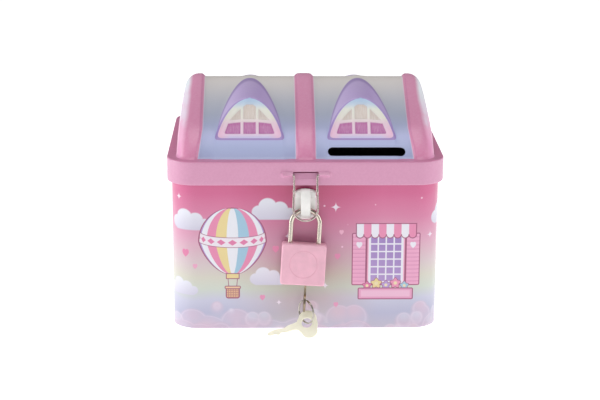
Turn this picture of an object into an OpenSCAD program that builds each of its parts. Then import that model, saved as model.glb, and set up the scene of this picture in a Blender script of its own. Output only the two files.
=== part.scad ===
// House-shaped tin money box with a hinged lid, a wire bail, a small padlock and two keys.
// Millimetres. X runs to the right, Y to the back, Z up. Origin: centre of the base, on the ground.

/* [Tin body] */
// Width of the body
body_w = 121; // [117:1:121]
// Depth of the body
body_d = 99; // [96:1:99]
// Corner radius of the body
body_r = 11.5; // [9:0.5:12]
// Thickness of the tinplate
sheet = 0.4; // [0.3:0.05:0.45]
// Height of the top edge of the body
body_top = 77.7; // [77:0.1:77.7]
// Radius of the rolled rim around the mouth
rim_r = 0.75; // [0.5:0.05:0.8]

/* [Lid] */
// Width of the lid band
lid_w = 125; // [125:1:128]
// Depth of the lid band
lid_d = 104; // [104:1:106]
// Corner radius of the lid band
lid_r = 13; // [12:0.5:14]
// Height of the lower edge of the band
band_z = 68.2; // [67.8:0.1:69]
// Height of the ledge on top of the band
ledge_z = 79.1; // [79.1:0.1:80]
// Half depth of the roof at its foot
foot_y = 47.5; // [46.5:0.5:47.5]
// Half width of the roof at its foot
foot_x = 58; // [57:0.5:58]
// Height of the roof panels at the crest, before rounding
crest_z = 109; // [106:0.5:110]
// How far the three ribs stand proud of the panels
rib_h = 1.5; // [1:0.1:1.6]
// Width of the middle rib
rib_w = 9.4; // [8:0.2:11]
// Inner edge of the end ribs, from the middle
rib_in = 47; // [46:0.5:49]
// Distance of each dormer from the middle
dormer_x = 25.2; // [24:0.2:26]
// Length of the coin slot
slot_l = 34.8; // [32:0.2:36]
// Width of the coin slot
slot_w = 4.2; // [3.6:0.1:4.4]
// Middle of the coin slot, from the middle of the lid
slot_x = 27.2; // [26:0.2:28]

/* [Rear hinge] */
// Length of the hinge
hinge_l = 60; // [50:1:70]
// Radius of the hinge wire
pin_r = 0.6; // [0.5:0.05:0.7]
// Outer radius of the knuckles
knuckle_r = 1.1; // [1.05:0.05:1.2]

/* [Bail and staple] */
// Middle of the lock, from the middle of the front
lock_x = -0.2; // [-0.5:0.1:0.5]
// Radius of the bail wire
bail_r = 0.5; // [0.4:0.05:0.55]
// Half distance between the legs of the bail
bail_half = 5.2; // [5.1:0.05:5.3]
// Length of the bail from its pivot to the middle of its foot
bail_l = 20.6; // [20:0.1:21]
// How far the hanging bail leans out
bail_lean = 10; // [10:0.5:12]
// Width of the staple
staple_w = 9.2; // [8.8:0.1:9.2]

/* [Padlock] */
// Radius of the shackle wire
shackle_r = 1.1; // [1:0.05:1.1]
// Half distance between the legs of the shackle
leg_x = 6.4; // [6.4:0.1:6.6]
// Width of the padlock body
case_w = 19.9; // [19.5:0.1:20.5]
// Height of the padlock body
case_h = 18.5; // [18.5:0.1:19]
// Thickness of the padlock body
case_d = 9; // [8.6:0.1:9]
// How far the hanging padlock leans out
lock_tilt = 7.2; // [7.2:0.1:8]
// How far the hanging padlock leans sideways
lock_roll = 3.3; // [2:0.1:4]

/* [Keys] */
// Thickness of the keys
key_t = 0.9; // [0.8:0.05:0.9]
// Radius of the split ring to the middle of its wire
ring_R = 5.3; // [5.2:0.05:5.4]
// Half thickness of the split ring
ring_r = 0.5; // [0.4:0.05:0.55]

/* [Hidden] */
$fn = 64;
hinge_y = lid_d/2 + 0.9;
hinge_z = band_z - 1.8;
eye = [lock_x + 0.4, -52.3, 57.1];       // middle of the shackle wire at the top of its arch
case_top = -15.2;                         // below, in the padlock's own frame: origin at the eye, Z along the shackle
plug_x = 1.6;
bail_y = -lid_d/2 - 0.7;
bail_z = 73.3;
swing = 15;                               // how far the padlock swings to each side

// ---------- helpers ----------
function unit(v) = v/norm(v);
// Points of a rounded corner at p1 between p0 and p2
function corner(p0, p1, p2, r, n) =
    let (a = unit(p0 - p1), b = unit(p2 - p1), h = acos(a*b)/2, c = p1 + unit(a + b)*r/sin(h),
         s = p1 + a*r/tan(h) - c, e = p1 + b*r/tan(h) - c,
         a0 = atan2(s[1], s[0]), a1 = atan2(e[1], e[0]), d = (a1 - a0 + 540) % 360 - 180)
    [for (i = [0:n]) c + r*[cos(a0 + d*i/n), sin(a0 + d*i/n)]];

module rrect(w, d, r) {
    square([w - 2*r, d], center = true);
    square([w, d - 2*r], center = true);
    for (x = [-1, 1], y = [-1, 1]) translate([x*(w/2 - r), y*(d/2 - r)]) circle(r);
}
module tube(w, d, r, t, z0, z1) {
    translate([0, 0, z0]) linear_extrude(height = z1 - z0) difference() {
        rrect(w, d, r);
        rrect(w - 2*t, d - 2*t, r - t);
    }
}
// Round bead that follows a rounded rectangle
module bead(w, d, r, b) {
    for (s = [-1, 1]) {
        translate([-(w/2 - r), s*d/2, 0]) rotate([0, 90, 0]) cylinder(h = w - 2*r, r = b, $fn = 24);
        translate([s*w/2, -(d/2 - r), 0]) rotate([-90, 0, 0]) cylinder(h = d - 2*r, r = b, $fn = 24);
    }
    for (q = [[1, 1, 0], [-1, 1, 90], [-1, -1, 180], [1, -1, 270]])
        translate([q[0]*(w/2 - r), q[1]*(d/2 - r), 0]) rotate([0, 0, q[2]])
            rotate_extrude(angle = 90) translate([r, 0]) circle(b, $fn = 24);
}
// A coil of round wire as one swept tube, standing on Z = 0
module coil(r, wire, h, turns) {
    n = turns*14;
    m = 6;
    pts = [for (i = [0:n], j = [0:m - 1])
        let (a = 360*turns*i/n, b = 360*j/m, q = r + wire*cos(b))
        [q*cos(a), q*sin(a), wire + (h - 2*wire)*i/n + wire*sin(b)]];
    polyhedron(points = pts, faces = concat(
        [[for (j = [0:m - 1]) j]],
        [[for (j = [m - 1:-1:0]) n*m + j]],
        [for (i = [0:n - 1], j = [0:m - 1]) [i*m + j, (i + 1)*m + j, (i + 1)*m + (j + 1) % m, i*m + (j + 1) % m]]));
}
// Puts the padlock's own frame at the eye
module at_lock() { translate(eye) rotate([-lock_tilt, 0, 0]) rotate([0, lock_roll, 0]) children(); }

// ---------- tin body ----------
module body_shell() {
    color("hotpink") difference() {
        union() {
            tube(body_w, body_d, body_r, sheet, 0, body_top);
            tube(body_w - 0.2, body_d - 0.2, body_r - 0.1, 3, sheet, 2*sheet);
            translate([0, 0, body_top]) bead(body_w, body_d, body_r, rim_r);
        }
        // window that the staple's stem passes through
        translate([lock_x - 2.6, -body_d/2 - 1, 55.9]) cube([5.2, 2.5, 7.2]);
    }
}
module base_panel() {
    w = body_w - 2*sheet - 0.1;
    d = body_d - 2*sheet - 0.1;
    r = body_r - sheet;
    color("plum") {
        linear_extrude(height = sheet) rrect(w, d, r);
        // two stiffening steps pressed into the panel
        translate([0, 0, sheet/2]) linear_extrude(height = sheet) difference() {
            rrect(w - 14, d - 14, r - 4);
            rrect(w - 17, d - 17, r - 5);
        }
    }
}

// ---------- staple ----------
module staple_outline(g) {
    // arched top, round foot
    w = staple_w - 2*g;
    translate([-w/2, 52.9 + g + 2.2]) square([w, 8.2 - g]);
    translate([0, 56.6]) intersection() {
        circle(r = w/2 + 5.2, $fn = 96);
        translate([-w/2, 0]) square([w, 10.2 - g]);
    }
    intersection() {
        translate([0, 60.6]) circle(r = 8.2 - g, $fn = 96);
        translate([-w/2, 50]) square([w, 8]);
    }
}
module staple_slab(g, y0, y1, z0, z1) {
    translate([lock_x, y1, 0]) rotate([90, 0, 0]) linear_extrude(height = y1 - y0) intersection() {
        staple_outline(g);
        translate([-20, z0]) square([40, z1 - z0]);
    }
}
module lock_staple() {
    f = -body_d/2;
    color("white") {
        // flange against the wall, head above and lip below the shackle's channel
        translate([lock_x, f, 0]) rotate([90, 0, 0]) linear_extrude(height = 0.9) {
            translate([0, 59.6]) circle(r = 5.8, $fn = 96);
            staple_outline(0);
        }
        staple_slab(0, f - 3.5, f - 0.8, 62.9, 68);
        // the lip keeps clear of the shackle over its whole swing
        intersection() {
            staple_slab(0.4, f - 3.2, f - 0.8, 50, 55.2);
            intersection_for(a = [lock_roll - swing, lock_roll, lock_roll + swing])
                translate([eye[0] - leg_x*sin(a), 0, eye[2] - leg_x*cos(a)]) rotate([90, 0, 0]) cylinder(h = 100, r = leg_x - shackle_r - 0.35, $fn = 64);
        }
        // bridge in front of the shackle
        translate([lock_x - 2.2, f - 5.8, 53.5]) cube([4.4, 1.3, 10.5]);
        translate([lock_x - 2.2, f - 5.2, 62.9]) cube([4.4, 2.2, 1.1]);
        translate([lock_x - 1.6, f - 5.2, 53.5]) cube([3.2, 4.5, 0.9]);
        // stem through the wall
        translate([lock_x - 2.5, f - 0.5, 56]) cube([5, 3.2, 7]);
    }
}
module staple_retainer() {
    f = -body_d/2 + sheet;
    color("silver") translate([lock_x, f + 0.9, 59.5]) rotate([90, 0, 0]) linear_extrude(height = 0.8)
        difference() {
            rrect(11, 13, 2);
            square([5.04, 7.04], center = true);
        }
}

// ---------- rear hinge ----------
module knuckles(spans) {
    for (s = spans) translate([s[0], hinge_y, hinge_z]) rotate([0, 90, 0]) cylinder(h = s[1] - s[0], r = knuckle_r, $fn = 32);
}
function lid_spans() = [for (i = [0, 2, 4]) [-hinge_l/2 + i*hinge_l/5 + (i > 0 ? 0.2 : 0), -hinge_l/2 + (i + 1)*hinge_l/5 - (i < 4 ? 0.2 : 0)]];
function body_spans() = [for (i = [1, 3]) [-hinge_l/2 + i*hinge_l/5 + 0.2, -hinge_l/2 + (i + 1)*hinge_l/5 - 0.2]];
module hinge_bore() {
    translate([-hinge_l/2 - 1, hinge_y, hinge_z]) rotate([0, 90, 0]) cylinder(h = hinge_l + 2, r = pin_r + 0.05, $fn = 32);
}
module body_hinge_leaf() {
    b = body_d/2;
    color("lightpink") difference() {
        union() {
            knuckles(body_spans());
            for (s = body_spans()) translate([s[0], 0, 0]) rotate([90, 0, 90]) linear_extrude(height = s[1] - s[0])
                polygon([[b, hinge_z - 5.4], [b + 0.5, hinge_z - 5.6], [hinge_y + 0.9, hinge_z - 0.62], [hinge_y + 0.3, hinge_z - 0.3], [b, hinge_z - 4.6]]);
            translate([-hinge_l/2, b, hinge_z - 15]) cube([hinge_l, 0.5, 10]);
        }
        hinge_bore();
    }
}
module lid_hinge_leaf() {
    l = lid_d/2;
    color("pink") difference() {
        union() {
            knuckles(lid_spans());
            for (s = lid_spans()) translate([s[0], l, hinge_z]) cube([s[1] - s[0], 0.5, 2.6]);
            translate([-hinge_l/2, l, hinge_z + 2.4]) cube([hinge_l, 0.5, 7]);
        }
        hinge_bore();
    }
}
module hinge_pin() {
    color("silver") translate([-hinge_l/2 - 0.6, hinge_y, hinge_z]) rotate([0, 90, 0]) cylinder(h = hinge_l + 1.2, r = pin_r, $fn = 32);
}

// ---------- lid ----------
// Half profile of the roof in the YZ plane, moved out by o, its foot taken down to z0
function roof(o, z0) =
    let (E0 = [foot_y - 5, ledge_z + 8.7], A0 = [0, crest_z], F0 = [foot_y, ledge_z],
         d1 = unit(E0 - F0), d2 = unit(A0 - E0), n1 = [d1[1], -d1[0]], n2 = [d2[1], -d2[0]],
         E = E0 + o*(n1 + n2)/(1 + n1*n2), A = [0, crest_z + o/n2[1]],
         F = [foot_y + o/n1[0] + (ledge_z - z0)*(-d1[0]/d1[1]), z0],
         Em = [-E[0], E[1]], Fm = [-F[0], F[1]])
    concat([F], corner(F, E, A, 10 + o, 6), corner(E, A, Em, 12 + o, 8), corner(A, Em, Fm, 10 + o, 6), [Fm]);
module roof_prism(o, z0, x0, x1) {
    translate([x0, 0, 0]) rotate([90, 0, 90]) linear_extrude(height = x1 - x0) polygon(roof(o, z0));
}
// The whole roof as a solid, moved in by g
module roof_solid(g, z0) {
    lean = 5.5;
    difference() {
        union() {
            roof_prism(-g, z0, -foot_x + g, foot_x - g);
            roof_prism(rib_h - g, z0, -foot_x + g, -rib_in - g);
            roof_prism(rib_h - g, z0, rib_in + g, foot_x - g);
            roof_prism(rib_h - g, z0, -rib_w/2 + g, rib_w/2 - g);
            for (x = [-dormer_x, dormer_x], m = [0, 1]) mirror([0, m, 0]) dormer(x, g);
        }
        translate([foot_x - g, -100, ledge_z]) rotate([0, -lean, 0]) cube([20, 200, 60]);
        translate([-foot_x + g, -100, ledge_z]) rotate([0, lean, 0]) translate([-20, 0, 0]) cube([20, 200, 60]);
    }
}
// A dormer: an arched prism that runs back to the crest, cut by the sloping window
module dormer(x, g) {
    w = 14.4 - g;
    h = 15.2 - 2*g;
    difference() {
        translate([x, -28.5, 103.2 - g]) rotate([9.6, 0, 0]) rotate([90, 0, 0]) translate([0, 0, -28.8 + g])
            linear_extrude(height = 28.8 + 13)
                polygon(concat(
                    [for (i = [-10:10]) let (t = abs(i)/10) [sign(i)*w*pow(t, 0.9), -h*t*t]],
                    [[w, -h - (g > 0 ? 0.01 : 1)], [-w, -h - (g > 0 ? 0.01 : 1)]]));
        translate([x - 20, -28.5 + g*0.769, 103.2 - g*0.639]) rotate([50.3, 0, 0]) translate([0, -40, 0]) cube([40, 80, 30]);
        translate([x - 20, -60, 60]) cube([40, 120, ledge_z - 60 - g]);
    }
}
module bail_tunnel(x0, x1) {
    translate([x0, bail_y, bail_z]) rotate([0, 90, 0]) cylinder(h = x1 - x0, r = 1.1, $fn = 32);
}
module lid_shell() {
    color("orchid") difference() {
        union() {
            tube(lid_w, lid_d, lid_r, sheet, band_z, ledge_z);
            tube(lid_w - 0.4, lid_d - 0.4, lid_r - 0.2, 2*sheet - 0.2, band_z, band_z + 1.6);
            translate([0, 0, ledge_z - sheet]) linear_extrude(height = sheet) rrect(lid_w, lid_d, lid_r);
            roof_solid(0, ledge_z - sheet/2);
            bail_tunnel(lock_x - 10.8, lock_x - 6.1);
            bail_tunnel(lock_x + 6.1, lock_x + 10.8);
        }
        roof_solid(sheet, ledge_z - 1);
        // coin slot
        translate([slot_x, -45.4, 82]) rotate([60, 0, 0]) {
            translate([-slot_l/2 + slot_w/2, -slot_w/2, -6]) cube([slot_l - slot_w, slot_w, 12]);
            for (s = [-1, 1]) translate([s*(slot_l/2 - slot_w/2), 0, -6]) cylinder(h = 12, r = slot_w/2, $fn = 32);
        }
        // lanced window behind the bail, and the bores of its two tunnels
        translate([lock_x - 5.9, -lid_d/2 - 2, 71.3]) cube([11.8, 3, 3.1]);
        translate([lock_x - 12, bail_y, bail_z]) rotate([0, 90, 0]) cylinder(h = 24, r = bail_r + 0.06, $fn = 32);
    }
}

// ---------- bail ----------
module wire_bail() {
    L = bail_l - bail_half;
    color("silver") translate([lock_x, bail_y, bail_z]) rotate([-bail_lean, 0, 0]) {
        for (s = [-1, 1]) {
            translate([s*bail_half, 0, 0]) rotate([0, s*90, 0]) cylinder(h = 10.4 - bail_half, r = bail_r, $fn = 24);
            translate([s*bail_half, 0, 0]) sphere(r = bail_r, $fn = 24);
            translate([s*bail_half, 0, -L]) cylinder(h = L, r = bail_r, $fn = 24);
        }
        translate([0, 0, -L]) rotate([90, 0, 0]) rotate([0, 0, 180]) rotate_extrude(angle = 180) translate([bail_half, 0]) circle(bail_r, $fn = 24);
    }
}

// ---------- padlock (own frame) ----------
module lock_jacket() {
    color("lightpink") at_lock() difference() {
        translate([0, case_d/2, case_top - case_h/2]) rotate([90, 0, 0]) linear_extrude(height = case_d) rrect(case_w, case_h, 1.2);
        // pocket for the core, open below
        translate([-8.8, -3.35, case_top - case_h - 1]) cube([17.6, 6.7, case_h]);
        for (s = [-1, 1]) translate([s*leg_x, 0, case_top - 3]) cylinder(h = 4, r = shackle_r + 0.1, $fn = 32);
        // shallow round groove on the front
        translate([0, -case_d/2 - 0.01, case_top - 8.9]) rotate([-90, 0, 0]) difference() {
            cylinder(h = 0.2, r = 6.3);
            translate([0, 0, -1]) cylinder(h = 2, r = 6.0);
        }
    }
}
module lock_core() {
    zt = case_top - 1.05;
    zb = case_top - case_h + 0.95;
    color("goldenrod") at_lock() difference() {
        translate([-8.75, -3.3, zb]) cube([17.5, 6.6, zt - zb]);
        // bores for the two legs of the shackle
        translate([-leg_x, 0, -31.2]) cylinder(h = 20, r = shackle_r + 0.08, $fn = 32);
        translate([leg_x, 0, -19.8]) cylinder(h = 20, r = shackle_r + 0.08, $fn = 32);
        // bore for the plug and its clip
        translate([plug_x, 0, zb - 1]) cylinder(h = 12.6, r = 2.46, $fn = 48);
        translate([plug_x, 0, -21.3]) cylinder(h = 1.4, r = 3.0, $fn = 48);
        translate([plug_x, 0, -20]) cylinder(h = 6, r = 2.0, $fn = 48);
        // pocket for the latch and its spring
        translate([-4.7, -2.3, -17.6]) cube([10.4, 4.6, 5]);
        // hole for the heel pin
        translate([-leg_x + 0.95, 4, -21.7]) rotate([90, 0, 0]) cylinder(h = 8, r = 0.42, $fn = 24);
    }
}
module lock_bottom_plate() {
    zb = case_top - case_h;
    color("goldenrod") at_lock() difference() {
        translate([-8.75, -3.3, zb + 0.1]) cube([17.5, 6.6, 0.8]);
        translate([plug_x, 0, zb - 1]) cylinder(h = 4, r = 2.0, $fn = 48);
    }
}
module heel_pin() {
    color("silver") at_lock() translate([-leg_x + 0.95, 3.2, -21.7]) rotate([90, 0, 0]) cylinder(h = 6.4, r = 0.4, $fn = 24);
}
module shackle() {
    color("silver") at_lock() difference() {
        union() {
            translate([0, 0, -leg_x]) rotate([90, 0, 0]) rotate_extrude(angle = 180) translate([leg_x, 0]) circle(shackle_r, $fn = 32);
            translate([-leg_x, 0, -27]) cylinder(h = 27 - leg_x, r = shackle_r, $fn = 32);
            translate([leg_x, 0, -19.3]) cylinder(h = 19.3 - leg_x, r = shackle_r, $fn = 32);
        }
        // flat on the long leg for the heel pin, notch in the short leg for the latch
        translate([-leg_x + 0.5, -2, -27 + 0.2]) cube([2, 4, 5.6]);
        translate([leg_x - 2.6, -2, -18.75]) cube([2, 4, 2.5]);
    }
}
module shackle_spring() {
    color("gray") at_lock() translate([-leg_x, 0, -31.1]) coil(0.75, 0.2, 4.0, 4);
}
module latch() {
    // the nose narrows towards the short leg; the driver of the plug works in the slot
    color("silver") at_lock() translate([0, 0, -17.2]) linear_extrude(height = 0.7) difference() {
        polygon([[-2.6, -2.15], [4.4, -2.15], [5.72, -0.9], [5.72, 0.9], [4.4, 2.15], [-2.6, 2.15]]);
        translate([plug_x - 0.8, -0.5]) square([1.32, 2.3]);
    }
}
module latch_spring() {
    color("gray") at_lock() translate([-2.7, 0, -16.85]) rotate([0, -90, 0]) coil(0.4, 0.12, 1.9, 4);
}
module key_plug() {
    zb = case_top - case_h;
    color("goldenrod") at_lock() translate([plug_x, 0, 0]) difference() {
        union() {
            translate([0, 0, zb + 0.15]) cylinder(h = 1.2, r = 1.94, $fn = 48);
            translate([0, 0, zb + 1.0]) cylinder(h = -21.5 - zb - 1.0, r = 2.4, $fn = 48);
            translate([0, 0, -21.6]) cylinder(h = 2.0, r = 1.6, $fn = 48);
            // driver that moves the latch
            translate([0, 1.3, -19.8]) cylinder(h = 3.2, r = 0.4, $fn = 24);
        }
        // keyway and the slots of the wafers
        translate([-0.55, -1.45, zb - 1]) cube([1.1, 2.9, 12.4]);
        for (i = [0:3]) translate([-1.05, -3, -24.2 - 1.9*i]) cube([2.1, 6, 0.6]);
    }
}
module wafer(i) {
    color("khaki") at_lock() translate([plug_x, 0, -24.15 - 1.9*i]) difference() {
        translate([-1, -2.0, 0]) cube([2, 4, 0.5]);
        translate([-0.5, -1.5, -1]) cube([1, 3, 3]);
    }
}
module plug_clip() {
    color("gray") at_lock() translate([plug_x, 0, -21.2]) difference() {
        cylinder(h = 0.7, r = 2.85, $fn = 48);
        translate([0, 0, -1]) cylinder(h = 3, r = 1.66, $fn = 48);
        translate([-1.2, 0, -1]) cube([2.4, 4, 3]);
    }
}
// Outline of a key in its own plane: hole at the origin, blade towards -X
module key_shape(hole) {
    difference() {
        union() {
            translate([0.6, 1.6]) circle(r = 4.2, $fn = 64);
            translate([0, -0.6]) circle(r = 4.85, $fn = 64);
            translate([0.5, -3.7]) circle(r = 3.8, $fn = 64);
            polygon([[-3, 1.8], [-5.8, 1.0], [-8.4, 0.6], [-10.4, -0.2], [-14.6, -0.1], [-17.8, -0.8], [-18.4, -1.5], [-18.2, -2.1],
                     [-16.9, -2.6], [-15.1, -2.3], [-13.4, -3.0], [-12.2, -2.2], [-9.4, -2.4], [-6.8, -2.1], [-3, -2.6]]);
        }
        circle(r = hole, $fn = 48);
    }
}
module key() {
    color("khaki") at_lock() translate([plug_x, 0, 0]) {
        translate([-key_t/2, 0, -41.9]) rotate([0, 90, 0]) linear_extrude(height = key_t) difference() {
            union() {
                circle(r = 4.6, $fn = 64);
                translate([0.7, 0]) circle(r = 4.3, $fn = 64);
                translate([-7.6, -1.9]) square([5.6, 3.8]);
            }
            translate([0.1, 0]) circle(r = 2.3, $fn = 48);
        }
        translate([-key_t/2, -1.35, -36]) cube([key_t, 2.7, 13]);
    }
}
ring_c = [0.2, -58.6, 11.1];
ring_turn = -54;
module key_ring() {
    color("silver") translate(ring_c) rotate([0, 0, ring_turn]) rotate([90, 0, 0]) rotate_extrude($fn = 96) translate([ring_R, 0]) circle(ring_r, $fn = 24);
}
spare_o = [0.5, -59.2, 5.97];
module spare_key() {
    color("khaki") translate(spare_o) rotate([0, 0, -9.8]) rotate([50, 0, 0]) rotate([0, 0, 16]) translate([0, 0, -key_t/2]) linear_extrude(height = key_t) key_shape(2.4);
}

body_shell();
base_panel();
lock_staple();
staple_retainer();
body_hinge_leaf();
lid_shell();
lid_hinge_leaf();
hinge_pin();
wire_bail();
lock_jacket();
lock_core();
lock_bottom_plate();
heel_pin();
shackle();
shackle_spring();
latch();
latch_spring();
key_plug();
wafer(0);  // wafer_1
wafer(1);  // wafer_2
wafer(2);  // wafer_3
wafer(3);  // wafer_4
plug_clip();
key();
key_ring();
spare_key();
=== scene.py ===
import bpy
import bmesh
import math
import numpy as np
from mathutils import Matrix, Vector


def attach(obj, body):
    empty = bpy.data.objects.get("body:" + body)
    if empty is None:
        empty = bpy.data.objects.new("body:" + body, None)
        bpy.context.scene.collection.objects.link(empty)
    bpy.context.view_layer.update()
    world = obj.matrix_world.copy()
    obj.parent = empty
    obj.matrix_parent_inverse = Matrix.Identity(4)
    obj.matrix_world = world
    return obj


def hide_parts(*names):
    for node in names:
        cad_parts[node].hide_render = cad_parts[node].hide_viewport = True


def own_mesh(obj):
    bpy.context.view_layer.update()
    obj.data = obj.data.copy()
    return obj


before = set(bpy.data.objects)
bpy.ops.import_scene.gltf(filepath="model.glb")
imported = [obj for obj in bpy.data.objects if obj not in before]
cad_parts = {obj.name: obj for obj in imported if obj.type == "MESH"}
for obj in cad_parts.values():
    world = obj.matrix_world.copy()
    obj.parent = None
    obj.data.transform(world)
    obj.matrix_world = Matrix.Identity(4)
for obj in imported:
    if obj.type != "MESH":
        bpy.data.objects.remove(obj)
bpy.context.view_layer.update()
MM = 0.001
scene = bpy.context.scene


# ------------------------------------------------------------------ camera
def make_camera():
    f, th, psi, rho = 1556.07, 0.268527, -0.0249108, 0.00507181
    pos = Vector((-19.3746, -721.7945, 245.9295)) * MM
    fwd = Vector((-math.sin(psi) * math.cos(th), math.cos(psi) * math.cos(th), -math.sin(th)))
    right = Vector((math.cos(psi), math.sin(psi), 0.0))
    up = right.cross(fwd)
    r2 = math.cos(rho) * right + math.sin(rho) * up
    u2 = -math.sin(rho) * right + math.cos(rho) * up
    cam = bpy.data.cameras.new("camera")
    cam.sensor_width = 36.0
    cam.lens = f * 36.0 / 600.0
    cam.clip_start, cam.clip_end = 0.02, 50.0
    o = bpy.data.objects.new("camera", cam)
    m = Matrix.Identity(4)
    for i in range(3):
        m[i][0], m[i][1], m[i][2], m[i][3] = r2[i], u2[i], -fwd[i], pos[i]
    o.matrix_world = m
    scene.collection.objects.link(o)
    scene.camera = o


make_camera()
scene.view_settings.view_transform = "Standard"
scene.view_settings.look = "None"


# ------------------------------------------------------------------ materials
def lin(c):
    """sRGB 0-255 to linear RGBA."""
    out = []
    for v in c:
        v = v / 255.0
        out.append(v / 12.92 if v <= 0.04045 else ((v + 0.055) / 1.055) ** 2.4)
    return (out[0], out[1], out[2], 1.0)


class V:
    """A number in a material's node tree."""

    def __init__(self, t, s):
        self.t, self.s = t, s

    def _o(self, op, *a, clamp=False):
        return self.t.math(op, self, *a, clamp=clamp)

    def __add__(self, o):
        return self._o("ADD", o)

    __radd__ = __add__

    def __sub__(self, o):
        return self._o("SUBTRACT", o)

    def __rsub__(self, o):
        return self.t.math("SUBTRACT", o, self)

    def __mul__(self, o):
        return self._o("MULTIPLY", o)

    __rmul__ = __mul__

    def __truediv__(self, o):
        return self._o("DIVIDE", o)

    def __neg__(self):
        return self._o("MULTIPLY", -1.0)

    def abs(self):
        return self._o("ABSOLUTE")

    def pow(self, p):
        return self._o("POWER", p)

    def sqrt(self):
        return self._o("SQRT")

    def sin(self):
        return self._o("SINE")

    def max(self, o):
        return self._o("MAXIMUM", o)

    def min(self, o):
        return self._o("MINIMUM", o)

    def frac(self):
        return self._o("FRACT")

    def clamp(self):
        return self._o("ADD", 0.0, clamp=True)


class Mat:
    """A procedural material: a principled shader fed by a small node tree."""

    def __init__(self, name, **uniform):
        self.m = bpy.data.materials.new(name)
        self.m.use_nodes = True
        self.nt = self.m.node_tree
        self.nt.nodes.clear()
        out = self.nt.nodes.new("ShaderNodeOutputMaterial")
        self.b = self.nt.nodes.new("ShaderNodeBsdfPrincipled")
        self.nt.links.new(self.b.outputs[0], out.inputs[0])
        self._obj = None
        for k, v in uniform.items():
            self.b.inputs[k.replace("_", " ")].default_value = v

    def _set(self, sock, v):
        if isinstance(v, V):
            self.nt.links.new(v.s, sock)
        elif isinstance(v, bpy.types.NodeSocket):
            self.nt.links.new(v, sock)
        else:
            sock.default_value = v

    def math(self, op, *a, clamp=False):
        n = self.nt.nodes.new("ShaderNodeMath")
        n.operation = op
        n.use_clamp = clamp
        for i, x in enumerate(a):
            self._set(n.inputs[i], x)
        return V(self, n.outputs[0])

    def coords(self):
        """Position in the object's own frame, in millimetres."""
        if self._obj is None:
            tc = self.nt.nodes.new("ShaderNodeTexCoord")
            mp = self.nt.nodes.new("ShaderNodeVectorMath")
            mp.operation = "SCALE"
            mp.inputs["Scale"].default_value = 1000.0
            self.nt.links.new(tc.outputs["Object"], mp.inputs[0])
            sp = self.nt.nodes.new("ShaderNodeSeparateXYZ")
            self.nt.links.new(mp.outputs[0], sp.inputs[0])
            self._obj = (mp.outputs[0], [V(self, s) for s in sp.outputs])
        return self._obj

    def uv(self, name="print"):
        n = self.nt.nodes.new("ShaderNodeUVMap")
        n.uv_map = name
        sp = self.nt.nodes.new("ShaderNodeSeparateXYZ")
        self.nt.links.new(n.outputs[0], sp.inputs[0])
        return V(self, sp.outputs[0]), V(self, sp.outputs[1])

    def vec(self, x, y, z=0.0):
        n = self.nt.nodes.new("ShaderNodeCombineXYZ")
        for i, v in enumerate((x, y, z)):
            self._set(n.inputs[i], v)
        return n.outputs[0]

    def noise(self, scale, detail=2.0, rough=0.5, vec=None, distortion=0.0):
        """Noise by millimetres: scale is features per mm."""
        n = self.nt.nodes.new("ShaderNodeTexNoise")
        n.inputs["Scale"].default_value = scale
        n.inputs["Detail"].default_value = detail
        n.inputs["Roughness"].default_value = rough
        n.inputs["Distortion"].default_value = distortion
        self.nt.links.new(vec if vec is not None else self.coords()[0], n.inputs["Vector"])
        return V(self, n.outputs[0])

    def voronoi(self, scale, vec=None, feature="F1", randomness=1.0):
        n = self.nt.nodes.new("ShaderNodeTexVoronoi")
        n.feature = feature
        n.inputs["Scale"].default_value = scale
        n.inputs["Randomness"].default_value = randomness
        self.nt.links.new(vec if vec is not None else self.coords()[0], n.inputs["Vector"])
        return V(self, n.outputs[0]), n.outputs["Color"]

    def mix(self, fac, a, b, mode="MIX"):
        n = self.nt.nodes.new("ShaderNodeMix")
        n.data_type = "RGBA"
        n.blend_type = mode
        self._set(n.inputs[0], fac)
        self._set(n.inputs[6], a)
        self._set(n.inputs[7], b)
        return n.outputs[2]

    def ramp(self, fac, stops, smooth=False):
        n = self.nt.nodes.new("ShaderNodeValToRGB")
        r = n.color_ramp
        r.interpolation = "EASE" if smooth else "LINEAR"
        while len(r.elements) < len(stops):
            r.elements.new(0.5)
        for e, (p, c) in zip(r.elements, sorted(stops)):
            e.position = p
            e.color = lin(c)
        self._set(n.inputs[0], fac)
        return n.outputs[0]

    def mask(self, d, soft=0.12):
        """1 inside a shape whose signed distance is d mm."""
        return self.math("MULTIPLY_ADD", d, -1.0 / soft, 0.5, clamp=True)

    def range(self, v, a, b):
        """0 at a, 1 at b, clamped."""
        return self.math("MULTIPLY_ADD", v, 1.0 / (b - a), -a / (b - a), clamp=True)

    def color(self, sock):
        self._set(self.b.inputs["Base Color"], sock)

    def rough(self, v):
        self._set(self.b.inputs["Roughness"], v)

    def bump(self, height, dist_mm, strength=1.0):
        n = self.nt.nodes.new("ShaderNodeBump")
        n.inputs["Strength"].default_value = strength
        n.inputs["Distance"].default_value = dist_mm * MM
        self._set(n.inputs["Height"], height)
        self.nt.links.new(n.outputs[0], self.b.inputs["Normal"])

    # shapes
    def circle(self, u, v, cx, cy, r):
        a, b = u - cx, v - cy
        return (a * a + b * b).sqrt() - r

    def box(self, u, v, cx, cy, hx, hy):
        return ((u - cx).abs() - hx).max((v - cy).abs() - hy)

    def rbox(self, u, v, cx, cy, hx, hy, r):
        a = ((u - cx).abs() - (hx - r)).max(0.0)
        b = ((v - cy).abs() - (hy - r)).max(0.0)
        return (a * a + b * b).sqrt() - r

    def union(self, *ds):
        d = ds[0]
        for e in ds[1:]:
            d = d.min(e)
        return d


def lift(c, k):
    return tuple(min(255, x * k) for x in c)


# ---- the coated tin of the lid
BAND_PINK = (208, 144, 177)
# the ledge's pink is painted darker than the band's: painted shade on the up-facing ledge
LEDGE_SHADE_PINK = (202, 124, 162)


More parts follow.
